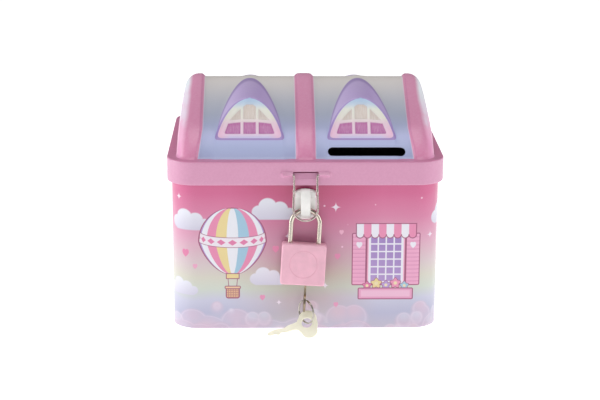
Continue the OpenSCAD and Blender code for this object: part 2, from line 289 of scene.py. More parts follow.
def lid_material():
    t = Mat("lid_print", Roughness=0.36, IOR=1.5, Coat_Weight=0.2, Coat_Roughness=0.2)
    p, (x, y, z) = t.coords()
    ax, ay = x.abs(), y.abs()
    # ribs and panels
    grain = t.noise(0.9, 3.0, 0.6)
    fine = t.noise(6.0, 2.0, 0.6)
    panel = t.ramp(
        t.range(z, 79.0, 108.5),
        [
            (0.0, (170, 179, 218)),
            (0.16, (168, 178, 217)),
            (0.30, (174, 180, 222)),
            (0.42, (172, 180, 214)),
            (0.55, (174, 182, 202)),
            (0.70, (190, 193, 204)),
            (0.86, (210, 207, 208)),
            (1.0, (224, 217, 212)),
        ],
    )
    pink = t.ramp(
        t.range(z, 79.0, 108.5),
        [(0.0, (218, 134, 174)), (0.35, (214, 134, 172)), (1.0, (216, 144, 178))],
    )
    pink = t.mix(t.range(grain, 0.42, 0.66) * 0.25, pink, lin((222, 164, 194)))
    edge = 46.4 + t.range(z, 91.0, 79.0) * 2.0
    rib = t.mask((4.4 - ax).max(ax - edge) * -1.0, 0.25)
    # pale line painted along both edges of each rib: a painted highlight where the rib's raised edge catches the light
    seam = t.mask(((ax - 4.55).abs().min((ax - edge + 0.15).abs())) - 0.16, 0.25)
    col = t.mix(rib, panel, pink)
    col = t.mix(seam * 0.6, col, lin((234, 212, 228)))
    # painted shade: a darker pink line along the flank of each raised rib
    rib_flank_shade = t.mask(((ax - 3.6).abs().min((ax - edge - 1.0).abs())) - 0.2, 0.5)
    col = t.mix(rib_flank_shade * 0.3, col, lin((176, 96, 142)))
    # sprinkled dots towards the ends of the end ribs
    dots, _ = t.voronoi(0.42, vec=t.vec(x * 1.0, y * 1.0, z * 1.0))
    sprinkle = t.mask(dots - 0.10, 0.05) * t.range(ax, 50.5, 54.5) * t.range(z, 88.0, 96.0)
    col = t.mix(sprinkle * 0.75, col, lin((244, 226, 240)))
    # the end faces: soft clouds over pink
    cl = t.noise(0.055, 3.0, 0.55)
    end = t.ramp(
        t.range(z + (cl - 0.5) * 26.0, 79.0, 108.0),
        [(0.0, (236, 160, 202)), (0.35, (240, 180, 212)), (0.6, (236, 222, 238)), (1.0, (236, 242, 248))],
        smooth=True,
    )
    isend = t.range(ax + (cl - 0.5) * 1.6 + t.range(z, 82.0, 100.0) * 2.6, 54.5, 56.5)
    col = t.mix(isend, col, end)

    # dormers: hood, window frame and panes, in the window's own plane
    for s in (-1.0, 1.0):
        u = x - s * DORMER_X
        au = u.abs()
        drop = au * au * 0.0479 + (au / DORMER_W).pow(16.0) * 2.9
        hood_z = (WIN_Z + (28.5 - ay) * math.tan(math.radians(9.6))) - drop
        win = (ay - 28.5) * WIN_S + (z - WIN_Z) * WIN_C  # out from the window plane
        v = (ay - 28.5) * WIN_C - (z - WIN_Z) * WIN_S  # down the window plane
        panel_z = 109.0 - ay * 0.49878
        # the hood shows where it stands above the panel
        hood = t.mask((panel_z + 0.15) - hood_z, 0.3) * t.mask(win - 0.5, 0.4) * t.mask(t.math("SMOOTH_MAX", au - DORMER_W - 0.9, v - 21.4, 3.0), 0.3)
        # painted shade: the hood's purple is lighter at its left and darker towards its right, as light falls across
        # its curve. It is also lighter towards its top.
        purple = t.mix(t.range(u + (grain - 0.5) * 8.0, -12.0, 4.0), lin((200, 182, 226)), lin((182, 158, 212)))
        purple = t.mix(t.range(z, 104.0, 108.0) * 0.5, purple, lin((198, 182, 214)))
        # painted shadow: a dark purple line along the hood's edge where it stands up from the panel
        low = t.mask((hood_z - panel_z) - 1.3, 0.9)
        purple = t.mix(low * 0.55, purple, lin((116, 90, 160)))
        col = t.mix(hood, col, purple)
        # the window: frame, panes and glazing bars inside the arched face
        arch = au - v.max(0.02).sqrt() * 3.68 + v * v * 0.0045
        face_d = t.math("SMOOTH_MAX", arch, v - 20.4, 4.0)
        near = t.mask(win.abs() - 1.9, 0.3) * t.mask(v * -1.0 - 0.4, 0.3)
        # a purple border round the window face, darker downwards: a printed line, and painted shade along the set-back
        # edge under the hood's lip
        rim = near * t.mask(face_d - 1.05, 0.25)
        rimc = t.mix(t.range(v, 4.0, 20.0), lin((166, 146, 206)), lin((152, 126, 190)))
        col = t.mix(rim, col, rimc)
        f = t.ramp(
            t.range(v, 0.0, 22.0),
            [
                (0.0, (168, 198, 228)),
                (0.13, (196, 212, 230)),
                (0.24, (226, 228, 218)),
                (0.44, (230, 226, 216)),
                (0.56, (232, 208, 220)),
                (0.80, (230, 200, 220)),
                (0.90, (206, 196, 232)),
                (1.0, (190, 186, 230)),
            ],
        )
        f = t.mix(t.range(au, 8.5, 12.5) * t.range(v, 12.0, 17.0) * 0.8, f, lin((234, 186, 214)))
        # panes
        curve = au * au * 0.008
        upper = au - ((v - 2.2).max(0.001) / 8.1).pow(0.75) * 8.4
        lower = t.math("SMOOTH_MAX", au - 9.4 - (v - 12.0) * 0.33, v - 17.9, 1.6)
        is_low = t.math("GREATER_THAN", v - curve, 11.1)
        glass = upper + (lower - upper) * is_low
        glass = glass.max(2.9 - v)
        bar = ((v - 11.1 - curve).abs() - 0.82) * -1.0
        mun = ((u + 0.0).abs() - 3.45).abs() * -1.0 + 0.7
        pane = glass.max(bar).max(mun)
        streak = t.noise(1.0, 2.0, 0.6, vec=t.vec(x * 2.6, y * 0.3, z * 0.3))
        up_c = t.mix(t.range(streak, 0.35, 0.7), lin((212, 198, 188)), lin((222, 212, 206)))
        lo_c = t.mix(t.range(v, 12.0, 17.5), lin((192, 116, 168)), lin((172, 80, 152)))
        lo_c = t.mix(t.range(streak, 0.45, 0.75) * 0.5, lo_c, lin((206, 150, 196)))
        pc = t.mix(is_low, up_c, lo_c)
        # a fine line of shade round each pane
        f = t.mix(t.mask(pane.abs() - 0.10, 0.2) * 0.45, f, lin((178, 130, 176)))
        f = t.mix(t.mask(pane, 0.22), f, pc)
        face = near * t.mask(face_d, 0.22)
        col = t.mix(face, col, f)

    # band and ledge
    band = t.mask(z - 79.35, 0.2)
    bandc = t.mix(t.range(grain, 0.4, 0.65) * 0.35, lin(BAND_PINK), lin((217, 156, 188)))
    # painted shade: the up-facing ledge is painted a darker pink
    ledge_shade = t.mask(78.75 - z, 0.25)
    bandc = t.mix(ledge_shade, bandc, lin(LEDGE_SHADE_PINK))
    col = t.mix(band, col, bandc)
    # fine unevenness of the print
    col = t.mix(t.range(fine, 0.35, 0.7) * 0.05, col, lin((255, 245, 250)))
    t.color(col)
    t.rough(0.34 + t.noise(0.35, 3.0, 0.5) * 0.12)
    t.bump(t.noise(0.12, 2.0, 0.5) * 1.0 + fine * 0.02, 0.10)
    return t.m


def cloud(t, u, v, cx, cy, s):
    """A flat-bottomed puffy cloud of five lobes."""
    d = t.union(
        t.circle(u, v, cx - 7.0 * s, cy - 0.3 * s, 3.3 * s),
        t.circle(u, v, cx - 2.8 * s, cy + 2.2 * s, 4.4 * s),
        t.circle(u, v, cx + 3.0 * s, cy + 1.0 * s, 3.9 * s),
        t.circle(u, v, cx + 7.6 * s, cy - 0.9 * s, 2.7 * s),
        t.rbox(u, v, cx + 0.2 * s, cy - 2.1 * s, 8.6 * s, 1.9 * s, 1.8 * s),
    )
    return d


def star4(t, u, v, cx, cy, r):
    """A four-pointed sparkle."""
    a, b = (u - cx).abs(), (v - cy).abs()
    return (a.sqrt() + b.sqrt()) - math.sqrt(r)


def heart(t, u, v, cx, cy, s):
    a = (u - cx).abs() / s
    b = (v - cy) / s
    q = b - a.sqrt() * 0.62
    return ((a * a + q * q).sqrt() - 1.0) * s


def body_material():
    t = Mat("body_print", Roughness=0.3, IOR=1.5, Coat_Weight=0.35, Coat_Roughness=0.12)
    u, v = t.uv("print")
    k = 1.0
    fine = t.noise(6.0, 2.0, 0.6)
    waver = t.noise(0.045, 2.0, 0.5, vec=t.vec(u, v * 0.4))
    level = t.range(v + (waver - 0.5) * 5.0, 0.0, 78.0)
    # the print's gradient up the wall in two copies: a darker one for the middle of the front and a lighter one for the
    # corners and sides; the lighter copy is painted light, a painted sheen from the side lights
    mid = t.ramp(
        level,
        [
            (0.00, (188, 186, 196)),
            (0.12, (186, 174, 186)),
            (0.18, (188, 172, 180)),
            (0.25, (183, 183, 170)),
            (0.32, (181, 166, 155)),
            (0.40, (182, 143, 152)),
            (0.54, (190, 124, 154)),
            (0.68, (192, 92, 135)),
            (0.82, (188, 62, 113)),
            (1.00, (184, 58, 106)),
        ],
    )
    ends = t.ramp(
        level,
        [
            (0.00, (190, 184, 200)),
            (0.10, (176, 177, 203)),
            (0.18, (192, 193, 213)),
            (0.25, (198, 206, 195)),
            (0.32, (204, 202, 188)),
            (0.40, (206, 188, 192)),
            (0.54, (211, 156, 181)),
            (0.68, (208, 120, 158)),
            (0.82, (206, 90, 140)),
            (1.00, (204, 84, 134)),
        ],
    )
    # painted light: lighter away from the middle of the front, darker in the middle
    col = t.mix(t.range(u.abs() + (waver - 0.5) * 10.0, 8.0, 34.0), mid, ends)
    # cloud bank along the foot: layers of puffs of many sizes, thinning upwards
    for size, seed, v0, h, core, edge in (
        (13.0, 1.7, 7.0, 17.0, (216, 186, 204), (192, 184, 208)),
        (10.0, 5.3, 4.0, 13.0, (208, 206, 222), (202, 174, 196)),
        (8.0, 9.1, -0.5, 11.0, (218, 194, 208), (194, 190, 210)),
    ):
        dist, _ = t.voronoi(1.0, vec=t.vec(u / size + seed, v / (size * 0.82), 0.0))
        f = dist + (v - v0) / h
        puff = t.mix(t.range(dist, 0.12, 0.62), lin(core), lin(edge))
        puff = t.mix(t.mask((f - 0.43).abs() * size - 0.35, 0.5) * 0.4, puff, lin((232, 218, 232)))
        col = t.mix(t.mask((f - 0.5) * size, 1.2) * 0.62, col, puff)

    # small confetti dots
    dd, dc = t.voronoi(0.16, vec=t.vec(u, v))
    dot = t.mask(dd * 6.2 - 0.42, 0.25) * t.range(v, 30.0, 38.0) * t.range(v, 72.0, 64.0)
    col = t.mix(dot * 0.85, col, lin((236, 196, 220)))

    ink = lin((150, 62, 104))
    white = lin((224, 226, 236))

    def paint(c, d, paint_c, line=0.0, soft=0.14):
        c = t.mix(t.mask(d, soft), c, paint_c)
        if line:
            c = t.mix(t.mask(d.abs() - line, soft), c, ink)
        return c

    # clouds behind the balloon
    for cx, cy, s in ((-52.5, 50.5, 0.92), (-14.5, 55.5, 0.95), (-17.0, 24.0, 0.8), (-56.5, 19.0, 0.75), (67.0, 52.0, 0.9), (-84.0, 44.0, 1.2), (92.0, 36.0, 1.2), (-120.0, 56.0, 1.3), (128.0, 58.0, 1.2), (160.0, 34.0, 1.3), (-165.0, 36.0, 1.2), (200.0, 56.0, 1.2)):
        d = cloud(t, u, v, cx, cy, s)
        sh = t.mix(t.range(v, cy - 4.5 * s, cy + 5.0 * s), lin((200, 197, 216)), lin((221, 222, 233)))
        col = t.mix(t.mask(d, 0.5), col, sh)

    # striped balloon
    bx, by, br = -33.0, 41.5, 15.2
    bu, bv = u - bx, v - by
    under = (bv * -1.0).max(0.0)
    width = (1.0 - (bv / (br * 1.04)) * (bv / (br * 1.04))).max(0.0004).sqrt() * br
    taper = 1.0 - (under / 20.5) * 0.30
    hw = width * taper
    env = (bu.abs() - hw) * 0.8
    env = env.max((bv + 15.3) * -1.0).max(bv - br * 1.03)
    q = (bu / hw.max(0.05)).max(-0.999).min(0.999)
    gore = t.math("ARCSINE", q) / math.pi + 0.5  # 0..1 across the balloon
    n_gore = 9.0
    g = gore * n_gore
    idx = t.math("FLOOR", g)
    stripe = t.ramp(
        t.math("MULTIPLY_ADD", idx, 1.0 / n_gore, 0.5 / n_gore),
        [(0.0, (226, 150, 190)), (1.0, (226, 150, 190))],
    )
    ramp = stripe.node.color_ramp
    ramp.interpolation = "CONSTANT"
    cols = [(170, 140, 200), (226, 228, 236), (222, 128, 168), (226, 206, 142), (226, 228, 236), (150, 190, 214), (222, 128, 168), (226, 228, 236), (170, 140, 200)]
    while len(ramp.elements) < 9:
        ramp.elements.new(0.5)
    for i, e in enumerate(ramp.elements):
        e.position = i / 9.0
        e.color = lin(cols[i])
    col = t.mix(t.mask(env, 0.14), col, stripe)
    gl = ((g - 0.5).frac() - 0.5).abs()
    seam = t.mask(gl * hw * 0.32 * -1.0 + hw * 0.16 - 0.11, 0.12)
    # band round the widest part
    sag = 2.6 - (1.0 - q * q).max(0.0).sqrt() * 3.2
    belt = ((bv - sag).abs() - 2.3).max(env)
    col = paint(col, belt, lin((230, 222, 232)), 0.0)
    dia = ((g.frac() - 0.5).abs() * 2.0 + ((bv - sag) / 1.7).abs() - 0.8)
    col = t.mix(t.mask(dia, 0.12) * t.mask(env + 0.3, 0.2), col, lin((216, 112, 160)))
    col = t.mix(t.mask(((bv - sag).abs() - 2.3).abs() - 0.14, 0.12) * t.mask(env, 0.2), col, ink)
    col = t.mix(t.mask(env.abs() - 0.24, 0.14), col, ink)
    # skirt, ropes and basket
    skirt = t.box(u, v, bx, by - 16.4, 2.9, 1.2)
    col = paint(col, skirt, lin((226, 206, 142)), 0.2)
    ropes = ((u - bx).abs() - 2.2 + (by - 17.0 - v) * 0.09).abs() - 0.16
    ropes = ropes.max(t.box(u, v, bx, by - 19.6, 4.0, 2.1))
    col = t.mix(t.mask(ropes, 0.12), col, ink)
    bk = t.rbox(u, v, bx, by - 24.2, 3.0, 2.7, 1.0)
    weave = ((u * 0.9).frac() - 0.5).abs().min(((v * 0.9).frac() - 0.5).abs())
    bc = t.mix(t.mask(weave - 0.14, 0.1), lin((214, 168, 132)), lin((178, 118, 108)))
    col = paint(col, bk, bc, 0.24)
    col = paint(col, t.rbox(u, v, bx, by - 21.8, 3.5, 0.6, 0.5), lin((226, 190, 150)), 0.2)

    # shuttered window with an awning and a flower box
    wx, wy = 36.5, 33.0
    wall = t.box(u, v, wx, wy - 1.0, 16.6, 16.4)
    col = paint(col, t.box(u, v, wx, wy, 8.7, 12.2), lin((232, 168, 198)), 0.24)
    col = paint(col, t.box(u, v, wx, wy, 7.9, 11.4), lin((228, 226, 236)), 0.0)
    pu = ((u - wx + 7.2) / 3.6).frac()
    pv = ((v - wy + 10.8) / 3.6).frac()
    pane = ((pu - 0.5).abs().max((pv - 0.5).abs()) - 0.41) * 3.6
    pane = pane.max(t.box(u, v, wx, wy, 7.2, 10.8))
    pc = t.mix(t.range(u * 0.5 + v, wy - 2.0, wy + 26.0), lin((174, 146, 202)), lin((150, 120, 186)))
    col = t.mix(t.mask(pane, 0.14), col, pc)
    for s in (-1.0, 1.0):
        cx = wx + s * 12.2
        sh = t.rbox(u, v, cx, wy, 3.1, 12.2, 0.5)
        slat = (((v - wy) / 1.9).frac() - 0.5).abs() * 1.9 - 0.16
        sc = t.mix(t.mask(slat, 0.14), lin((228, 160, 194)), lin((206, 124, 168)))
        col = paint(col, sh, sc, 0.24)
        col = paint(col, heart(t, u, v, cx, wy + 6.4, 1.35), lin((230, 226, 236)), 0.0)
    # awning
    aw = t.box(u, v, wx, wy + 14.2, 13.6, 2.6)
    scal = ((((u - wx + 13.6) / 3.4).frac() - 0.5) * 3.4)
    scd = t.math("MAXIMUM", (scal * scal + (v - wy - 11.7) * (v - wy - 11.7)).sqrt() - 1.7, (u - wx).abs() - 13.6)
    awn = aw.min(scd)
    st = t.math("FLOOR", (u - wx + 13.6) / 3.4) * 0.5
    sc = t.mix(t.math("GREATER_THAN", st.frac(), 0.25), lin((228, 226, 236)), lin((224, 132, 172)))
    col = paint(col, awn, sc, 0.22)
    # flower box
    for i, (fx, fy, r) in enumerate(((-8.4, -12.6, 2.1), (-4.2, -11.5, 2.5), (0.2, -12.3, 2.2), (4.5, -11.4, 2.5), (8.6, -12.6, 2.1))):
        fc = ((214, 110, 158), (226, 206, 142), (174, 146, 206), (226, 140, 176), (150, 190, 214))[i]
        a = t.math("ARCTAN2", v - (wy + fy), u - (wx + fx))
        rr = t.circle(u, v, wx + fx, wy + fy, r * 0.86) - (a * 5.0).sin() * (r * 0.16)
        col = paint(col, rr, lin(fc), 0.16)
        col = paint(col, t.circle(u, v, wx + fx, wy + fy, r * 0.32), lin((230, 214, 170)), 0.0)
    col = paint(col, t.rbox(u, v, wx, wy - 16.4, 12.4, 2.6, 0.5), lin((222, 150, 188)), 0.24)
    col = paint(col, t.box(u, v, wx, wy - 16.4, 11.2, 1.5), lin((230, 180, 206)), 0.0)

    # sparkles and hearts
    for cx, cy, r in ((13.5, 57.5, 2.6), (57.2, 44.0, 2.0), (-8.0, 44.0, 1.8), (9.0, 20.5, 1.9), (-57.8, 62.0, 1.8), (-12.0, 12.5, 1.6), (-70.0, 60.0, 2.4), (82.0, 54.0, 2.4), (110.0, 50.0, 2.2), (-102.0, 30.0, 2.2)):
        col = t.mix(t.mask(star4(t, u, v, cx, cy, r), 0.25) * 0.9, col, lin((232, 220, 234)))
    for cx, cy, s, c in ((-54.5, 35.5, 1.7, (218, 108, 158)), (-50.0, 29.5, 1.1, (224, 150, 186)), (-13.5, 37.5, 1.5, (222, 124, 168)), (14.5, 34.0, 1.3, (220, 128, 172)), (16.2, 45.5, 1.0, (228, 170, 196)), (-19.5, 14.5, 1.2, (220, 128, 172)), (14.0, 11.0, 1.1, (222, 140, 180)), (-92.0, 24.0, 2.0, (222, 124, 168)), (104.0, 26.0, 2.0, (222, 124, 168)), (-140.0, 30.0, 2.2, (222, 140, 180)), (146.0, 50.0, 2.2, (222, 140, 180))):
        col = t.mix(t.mask(heart(t, u, v, cx, cy, s), 0.2) * 0.9, col, lin(c))

    col = t.mix(t.range(fine, 0.35, 0.7) * 0.05, col, lin((255, 245, 250)))
    t.color(col)
    t.rough(0.26 + t.noise(0.35, 3.0, 0.5) * 0.12)
    t.bump(t.noise(0.10, 2.0, 0.5) + fine * 0.02, 0.12)
    return t.m


def plain_tin(name, c):
    t = Mat(name, Metallic=1.0, Roughness=0.35)
    n = t.noise(0.5, 4.0, 0.6)
    st = t.noise(1.0, 3.0, 0.6, vec=t.vec(t.coords()[1][0] * 0.15, t.coords()[1][1] * 4.0, t.coords()[1][2] * 0.15))
    t.color(t.mix(t.range(n, 0.3, 0.7), lin(c), lin(lift(c, 0.86))))
    t.rough(0.28 + st * 0.22)
    t.bump(st, 0.02)
    return t.m


def coated(name, c, rough=0.32):
    t = Mat(name, Roughness=rough, IOR=1.5, Coat_Weight=0.3, Coat_Roughness=0.15)
    n = t.noise(0.6, 4.0, 0.6)
    t.color(t.mix(t.range(n, 0.35, 0.65), lin(c), lin(lift(c, 0.94))))
    t.rough(rough - 0.05 + n * 0.14)
    t.bump(t.noise(2.5, 3.0, 0.5), 0.02)
    return t.m


def plated(name, c, rough, streak=2.0, dark=0.8, metal=1.0, bump_mm=0.012):
    t = Mat(name, Metallic=metal, Roughness=rough)
    n = t.noise(streak, 3.0, 0.6)
    m = t.noise(0.35, 3.0, 0.6)
    t.color(t.mix(t.range(m, 0.35, 0.7), lin(c), lin(lift(c, dark))))
    t.rough(rough * 0.75 + n * rough * 0.6)
    t.bump(n, bump_mm)
    return t.m


def plastic(name, c, rough, spec=0.45, sub=0.0, grain_mm=0.015, c2=None):
    t = Mat(name, Roughness=rough, Specular_IOR_Level=spec, Subsurface_Weight=sub)
    if sub:
        t.b.inputs["Subsurface Radius"].default_value = (1.0, 0.6, 0.5)
        t.b.inputs["Subsurface Scale"].default_value = 0.0012
    n = t.noise(0.25, 3.0, 0.5)
    g = t.noise(7.0, 2.0, 0.6)
    t.color(t.mix(t.range(n, 0.35, 0.65), lin(c), lin(c2 or lift(c, 0.965))))
    t.rough(rough - 0.05 + g * 0.12)
    t.bump(g + n * 0.6, grain_mm)
    return t.m


# ------------------------------------------------------------------ meshes
def to_object(name, me, body, *nodes, slot=None):
    o = bpy.data.objects.new(name, me)
    scene.collection.objects.link(o)
    if nodes:
        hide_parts(*nodes)
    RIDES.append((o, body))
    return o


RIDES = []


def new_mesh(name, verts, faces, mats, face_mat=None, sharp=35.0, merge=0.0, flip=False):
    """A mesh in metres from millimetre points."""
    me = bpy.data.meshes.new(name)
    me.from_pydata([tuple(float(c) * MM for c in v) for v in verts], [], [tuple(int(i) for i in f) for f in faces])
    for m in mats:
        me.materials.append(m)
    if face_mat is not None:
        me.polygons.foreach_set("material_index", np.asarray(face_mat, dtype=np.int32))
    bm = bmesh.new()
    bm.from_mesh(me)
    if merge:
        bmesh.ops.remove_doubles(bm, verts=bm.verts, dist=merge * MM)
    bmesh.ops.recalc_face_normals(bm, faces=bm.faces)
    if flip:
        bmesh.ops.reverse_faces(bm, faces=bm.faces)
    bm.to_mesh(me)
    bm.free()
    finish_shading(me, sharp)
    return me


def finish_shading(me, sharp=35.0):
    me.polygons.foreach_set("use_smooth", np.ones(len(me.polygons), dtype=bool))
    me.set_sharp_from_angle(angle=math.radians(sharp))
    me.update()


class Parts:
    """Collects several closed shapes into one mesh."""

    def __init__(self):
        self.v, self.f, self.m, self.n = [], [], [], 0

    def add(self, verts, faces, mat=0):
        verts = np.asarray(verts, float).reshape(-1, 3)
        self.v.append(verts)
        self.f += [tuple(int(i) + self.n for i in f) for f in faces]
        self.m += [mat] * len(faces)
        self.n += len(verts)
        return self

    def mesh(self, name, mats, **kw):
        return new_mesh(name, np.vstack(self.v), self.f, mats, face_mat=self.m, **kw)


def loft(loops, closed_path=False, cap=True):
    """Faces between rings of points of one length."""
    loops = [np.asarray(l, float) for l in loops]
    n, k = len(loops[0]), len(loops)
    verts = np.vstack(loops)
    faces = []
    for a in range(k if closed_path else k - 1):
        b = (a + 1) % k
        for i in range(n):
            j = (i + 1) % n
            faces.append((a * n + i, a * n + j, b * n + j, b * n + i))
    if cap and not closed_path:
        faces.append(tuple(range(n))[::-1])
        faces.append(tuple((k - 1) * n + i for i in range(n)))
    return verts, faces


def tube(path, r, sides=16, closed=False, round_ends=False):
    """A tube of radius r (a number or one per point) along a path of points."""
    p = np.asarray(path, float)
    n = len(p)
    rr = np.full(n, float(r)) if np.isscalar(r) else np.asarray(r, float)
    if closed:
        tan = np.roll(p, -1, 0) - np.roll(p, 1, 0)
    else:
        tan = np.gradient(p, axis=0)
    tan /= np.linalg.norm(tan, axis=1)[:, None]
    ref = np.array([0.0, 0.0, 1.0]) if abs(tan[0][2]) < 0.9 else np.array([1.0, 0.0, 0.0])
    a = np.cross(tan[0], ref)
    a /= np.linalg.norm(a)
    loops, ang = [], np.linspace(0, 2 * math.pi, sides, endpoint=False)
    frames = []
    for i in range(n):
        if i:
            a = a - tan[i] * (a @ tan[i])
            a /= np.linalg.norm(a)
        frames.append(a.copy())
    if closed:  # spread the twist
        a = frames[-1] - tan[0] * (frames[-1] @ tan[0])
        a /= np.linalg.norm(a)
        tw = math.atan2(np.cross(a, frames[0]) @ tan[0], a @ frames[0])
    else:
        tw = 0.0
    for i in range(n):
        a = frames[i]
        b = np.cross(tan[i], a)
        t = ang + tw * i / n
        loops.append(p[i] + rr[i] * (np.cos(t)[:, None] * a + np.sin(t)[:, None] * b))
    if round_ends and not closed:
        def dome(i, sgn):
            out = []
            for k in (0.35, 0.68, 0.92):
                h = math.sin(k * math.pi / 2)
                c = math.cos(k * math.pi / 2)
                out.append(p[i] + sgn * tan[i] * rr[i] * h * 0.9 + (loops[i] - p[i]) * c)
            return out
        loops = dome(0, -1)[::-1] + loops + dome(n - 1, 1)
    return loft(loops, closed_path=closed)


def rrect(w, d, r, seg=12, sx=1, sy=1):
    """Points round a rounded rectangle from the middle of the back, going by the right side (clockwise seen from above)."""
    pts = []
    hx, hy = w / 2 - r, d / 2 - r

    def line(a, b, n):
        for i in range(n):
            k = i / n
            pts.append((a[0] + (b[0] - a[0]) * k, a[1] + (b[1] - a[1]) * k))

    def arc(cx, cy, a0):
        for i in range(seg):
            a = math.radians(a0 - 90.0 * i / seg)
            pts.append((cx + r * math.cos(a), cy + r * math.sin(a)))

    line((0, d / 2), (hx, d / 2), sx)
    arc(hx, hy, 90)
    line((w / 2, hy), (w / 2, -hy), sy)
    arc(hx, -hy, 0)
    line((hx, -d / 2), (-hx, -d / 2), 2 * sx)
    arc(-hx, -hy, -90)
    line((-w / 2, -hy), (-w / 2, hy), sy)
    arc(-hx, hy, 180)
    line((-hx, d / 2), (0, d / 2), sx)
    return np.array(pts)


def at(pts2, z):
    return np.column_stack([pts2, np.full(len(pts2), z)])


# the padlock's own frame
_t, _r = math.radians(7.2), math.radians(3.3)
RX = np.array([[1, 0, 0], [0, math.cos(_t), math.sin(_t)], [0, -math.sin(_t), math.cos(_t)]])
RY = np.array([[math.cos(_r), 0, math.sin(_r)], [0, 1, 0], [-math.sin(_r), 0, math.cos(_r)]])
LR = RX @ RY
EYE = np.array([0.2, -52.3, 57.1])


def lock(v):
    return np.asarray(v, float) @ LR.T + EYE


def outline_plate(outer, holes, t, bevel, segs=2, res=0):
    """A flat plate with rounded edges, from a closed outline and holes, centred on its own plane. Points and faces in mm."""
    cu = bpy.data.curves.new("tmp", "CURVE")
    cu.dimensions = "2D"
    cu.fill_mode = "BOTH"
    cu.extrude = (t / 2 - bevel)
    cu.bevel_depth = bevel
    cu.bevel_resolution = segs
    cu.offset = -bevel
    for loop in [outer] + list(holes):
        s = cu.splines.new("POLY")
        s.points.add(len(loop) - 1)
        for q, pnt in zip(s.points, loop):
            q.co = (pnt[0], pnt[1], 0.0, 1.0)
        s.use_cyclic_u = True
    o = bpy.data.objects.new("tmp", cu)
    scene.collection.objects.link(o)
    me = bpy.data.meshes.new_from_object(o.evaluated_get(bpy.context.evaluated_depsgraph_get()))
    bpy.data.objects.remove(o)
    bm = bmesh.new()
    bm.from_mesh(me)
    bmesh.ops.remove_doubles(bm, verts=bm.verts, dist=0.002)
    bmesh.ops.dissolve_degenerate(bm, edges=bm.edges, dist=0.0005)
    v = np.array([tuple(x.co) for x in bm.verts])
    bm.verts.index_update()
    f = [tuple(x.index for x in fc.verts) for fc in bm.faces]
    bm.free()
    bpy.data.meshes.remove(me)
    bpy.data.curves.remove(cu)
    return v, f


def circle2(cx, cy, r, n=48, rev=False):
    a = np.linspace(0, 2 * math.pi, n, endpoint=False)
    if rev:
        a = a[::-1]
    return np.column_stack([cx + r * np.cos(a), cy + r * np.sin(a)])


def cut(target, cutters):
    """Takes solids out of a mesh object, and keeps the result."""
    for c in cutters:
        m = target.modifiers.new("cut", "BOOLEAN")
        m.operation = "DIFFERENCE"
        m.solver = "EXACT"
        m.object = c
    dg = bpy.context.evaluated_depsgraph_get()
    me = bpy.data.meshes.new_from_object(target.evaluated_get(dg))
    target.modifiers.clear()
    old = target.data
    target.data = me
    bpy.data.meshes.remove(old)
    for c in cutters:
        d = c.data
        bpy.data.objects.remove(c)
        bpy.data.meshes.remove(d)


def temp_object(name, me):
    o = bpy.data.objects.new(name, me)
    scene.collection.objects.link(o)
    return o


# ------------------------------------------------------------------ the lid's form
LID_W, LID_D, LID_R = 125.0, 104.0, 13.0
BAND_Z, LEDGE_Z = 68.2, 79.1
FOOT_X, FOOT_Y = 58.0, 47.5
DORMER_X, DORMER_W = 25.2, 15.3
WIN_Z = 103.2
WIN_A = math.radians(50.3)
WIN_S, WIN_C = math.sin(WIN_A), math.cos(WIN_A)
LOCK_X = -0.2


def smin(a, b, k):
    h = np.maximum(k - np.abs(a - b), 0.0) / k
    return np.minimum(a, b) - h * h * k * 0.25


def smax(a, b, k):
    return -smin(-a, -b, k)


def rint(a, b, r):
    """Rounded intersection of two inside-negative distances."""
    u, v = np.maximum(a + r, 0.0), np.maximum(b + r, 0.0)
    return np.minimum(np.maximum(a, b), -r) + np.hypot(u, v)


def sstep(x):
    x = np.clip(x, 0.0, 1.0)
    return x * x * (3.0 - 2.0 * x)


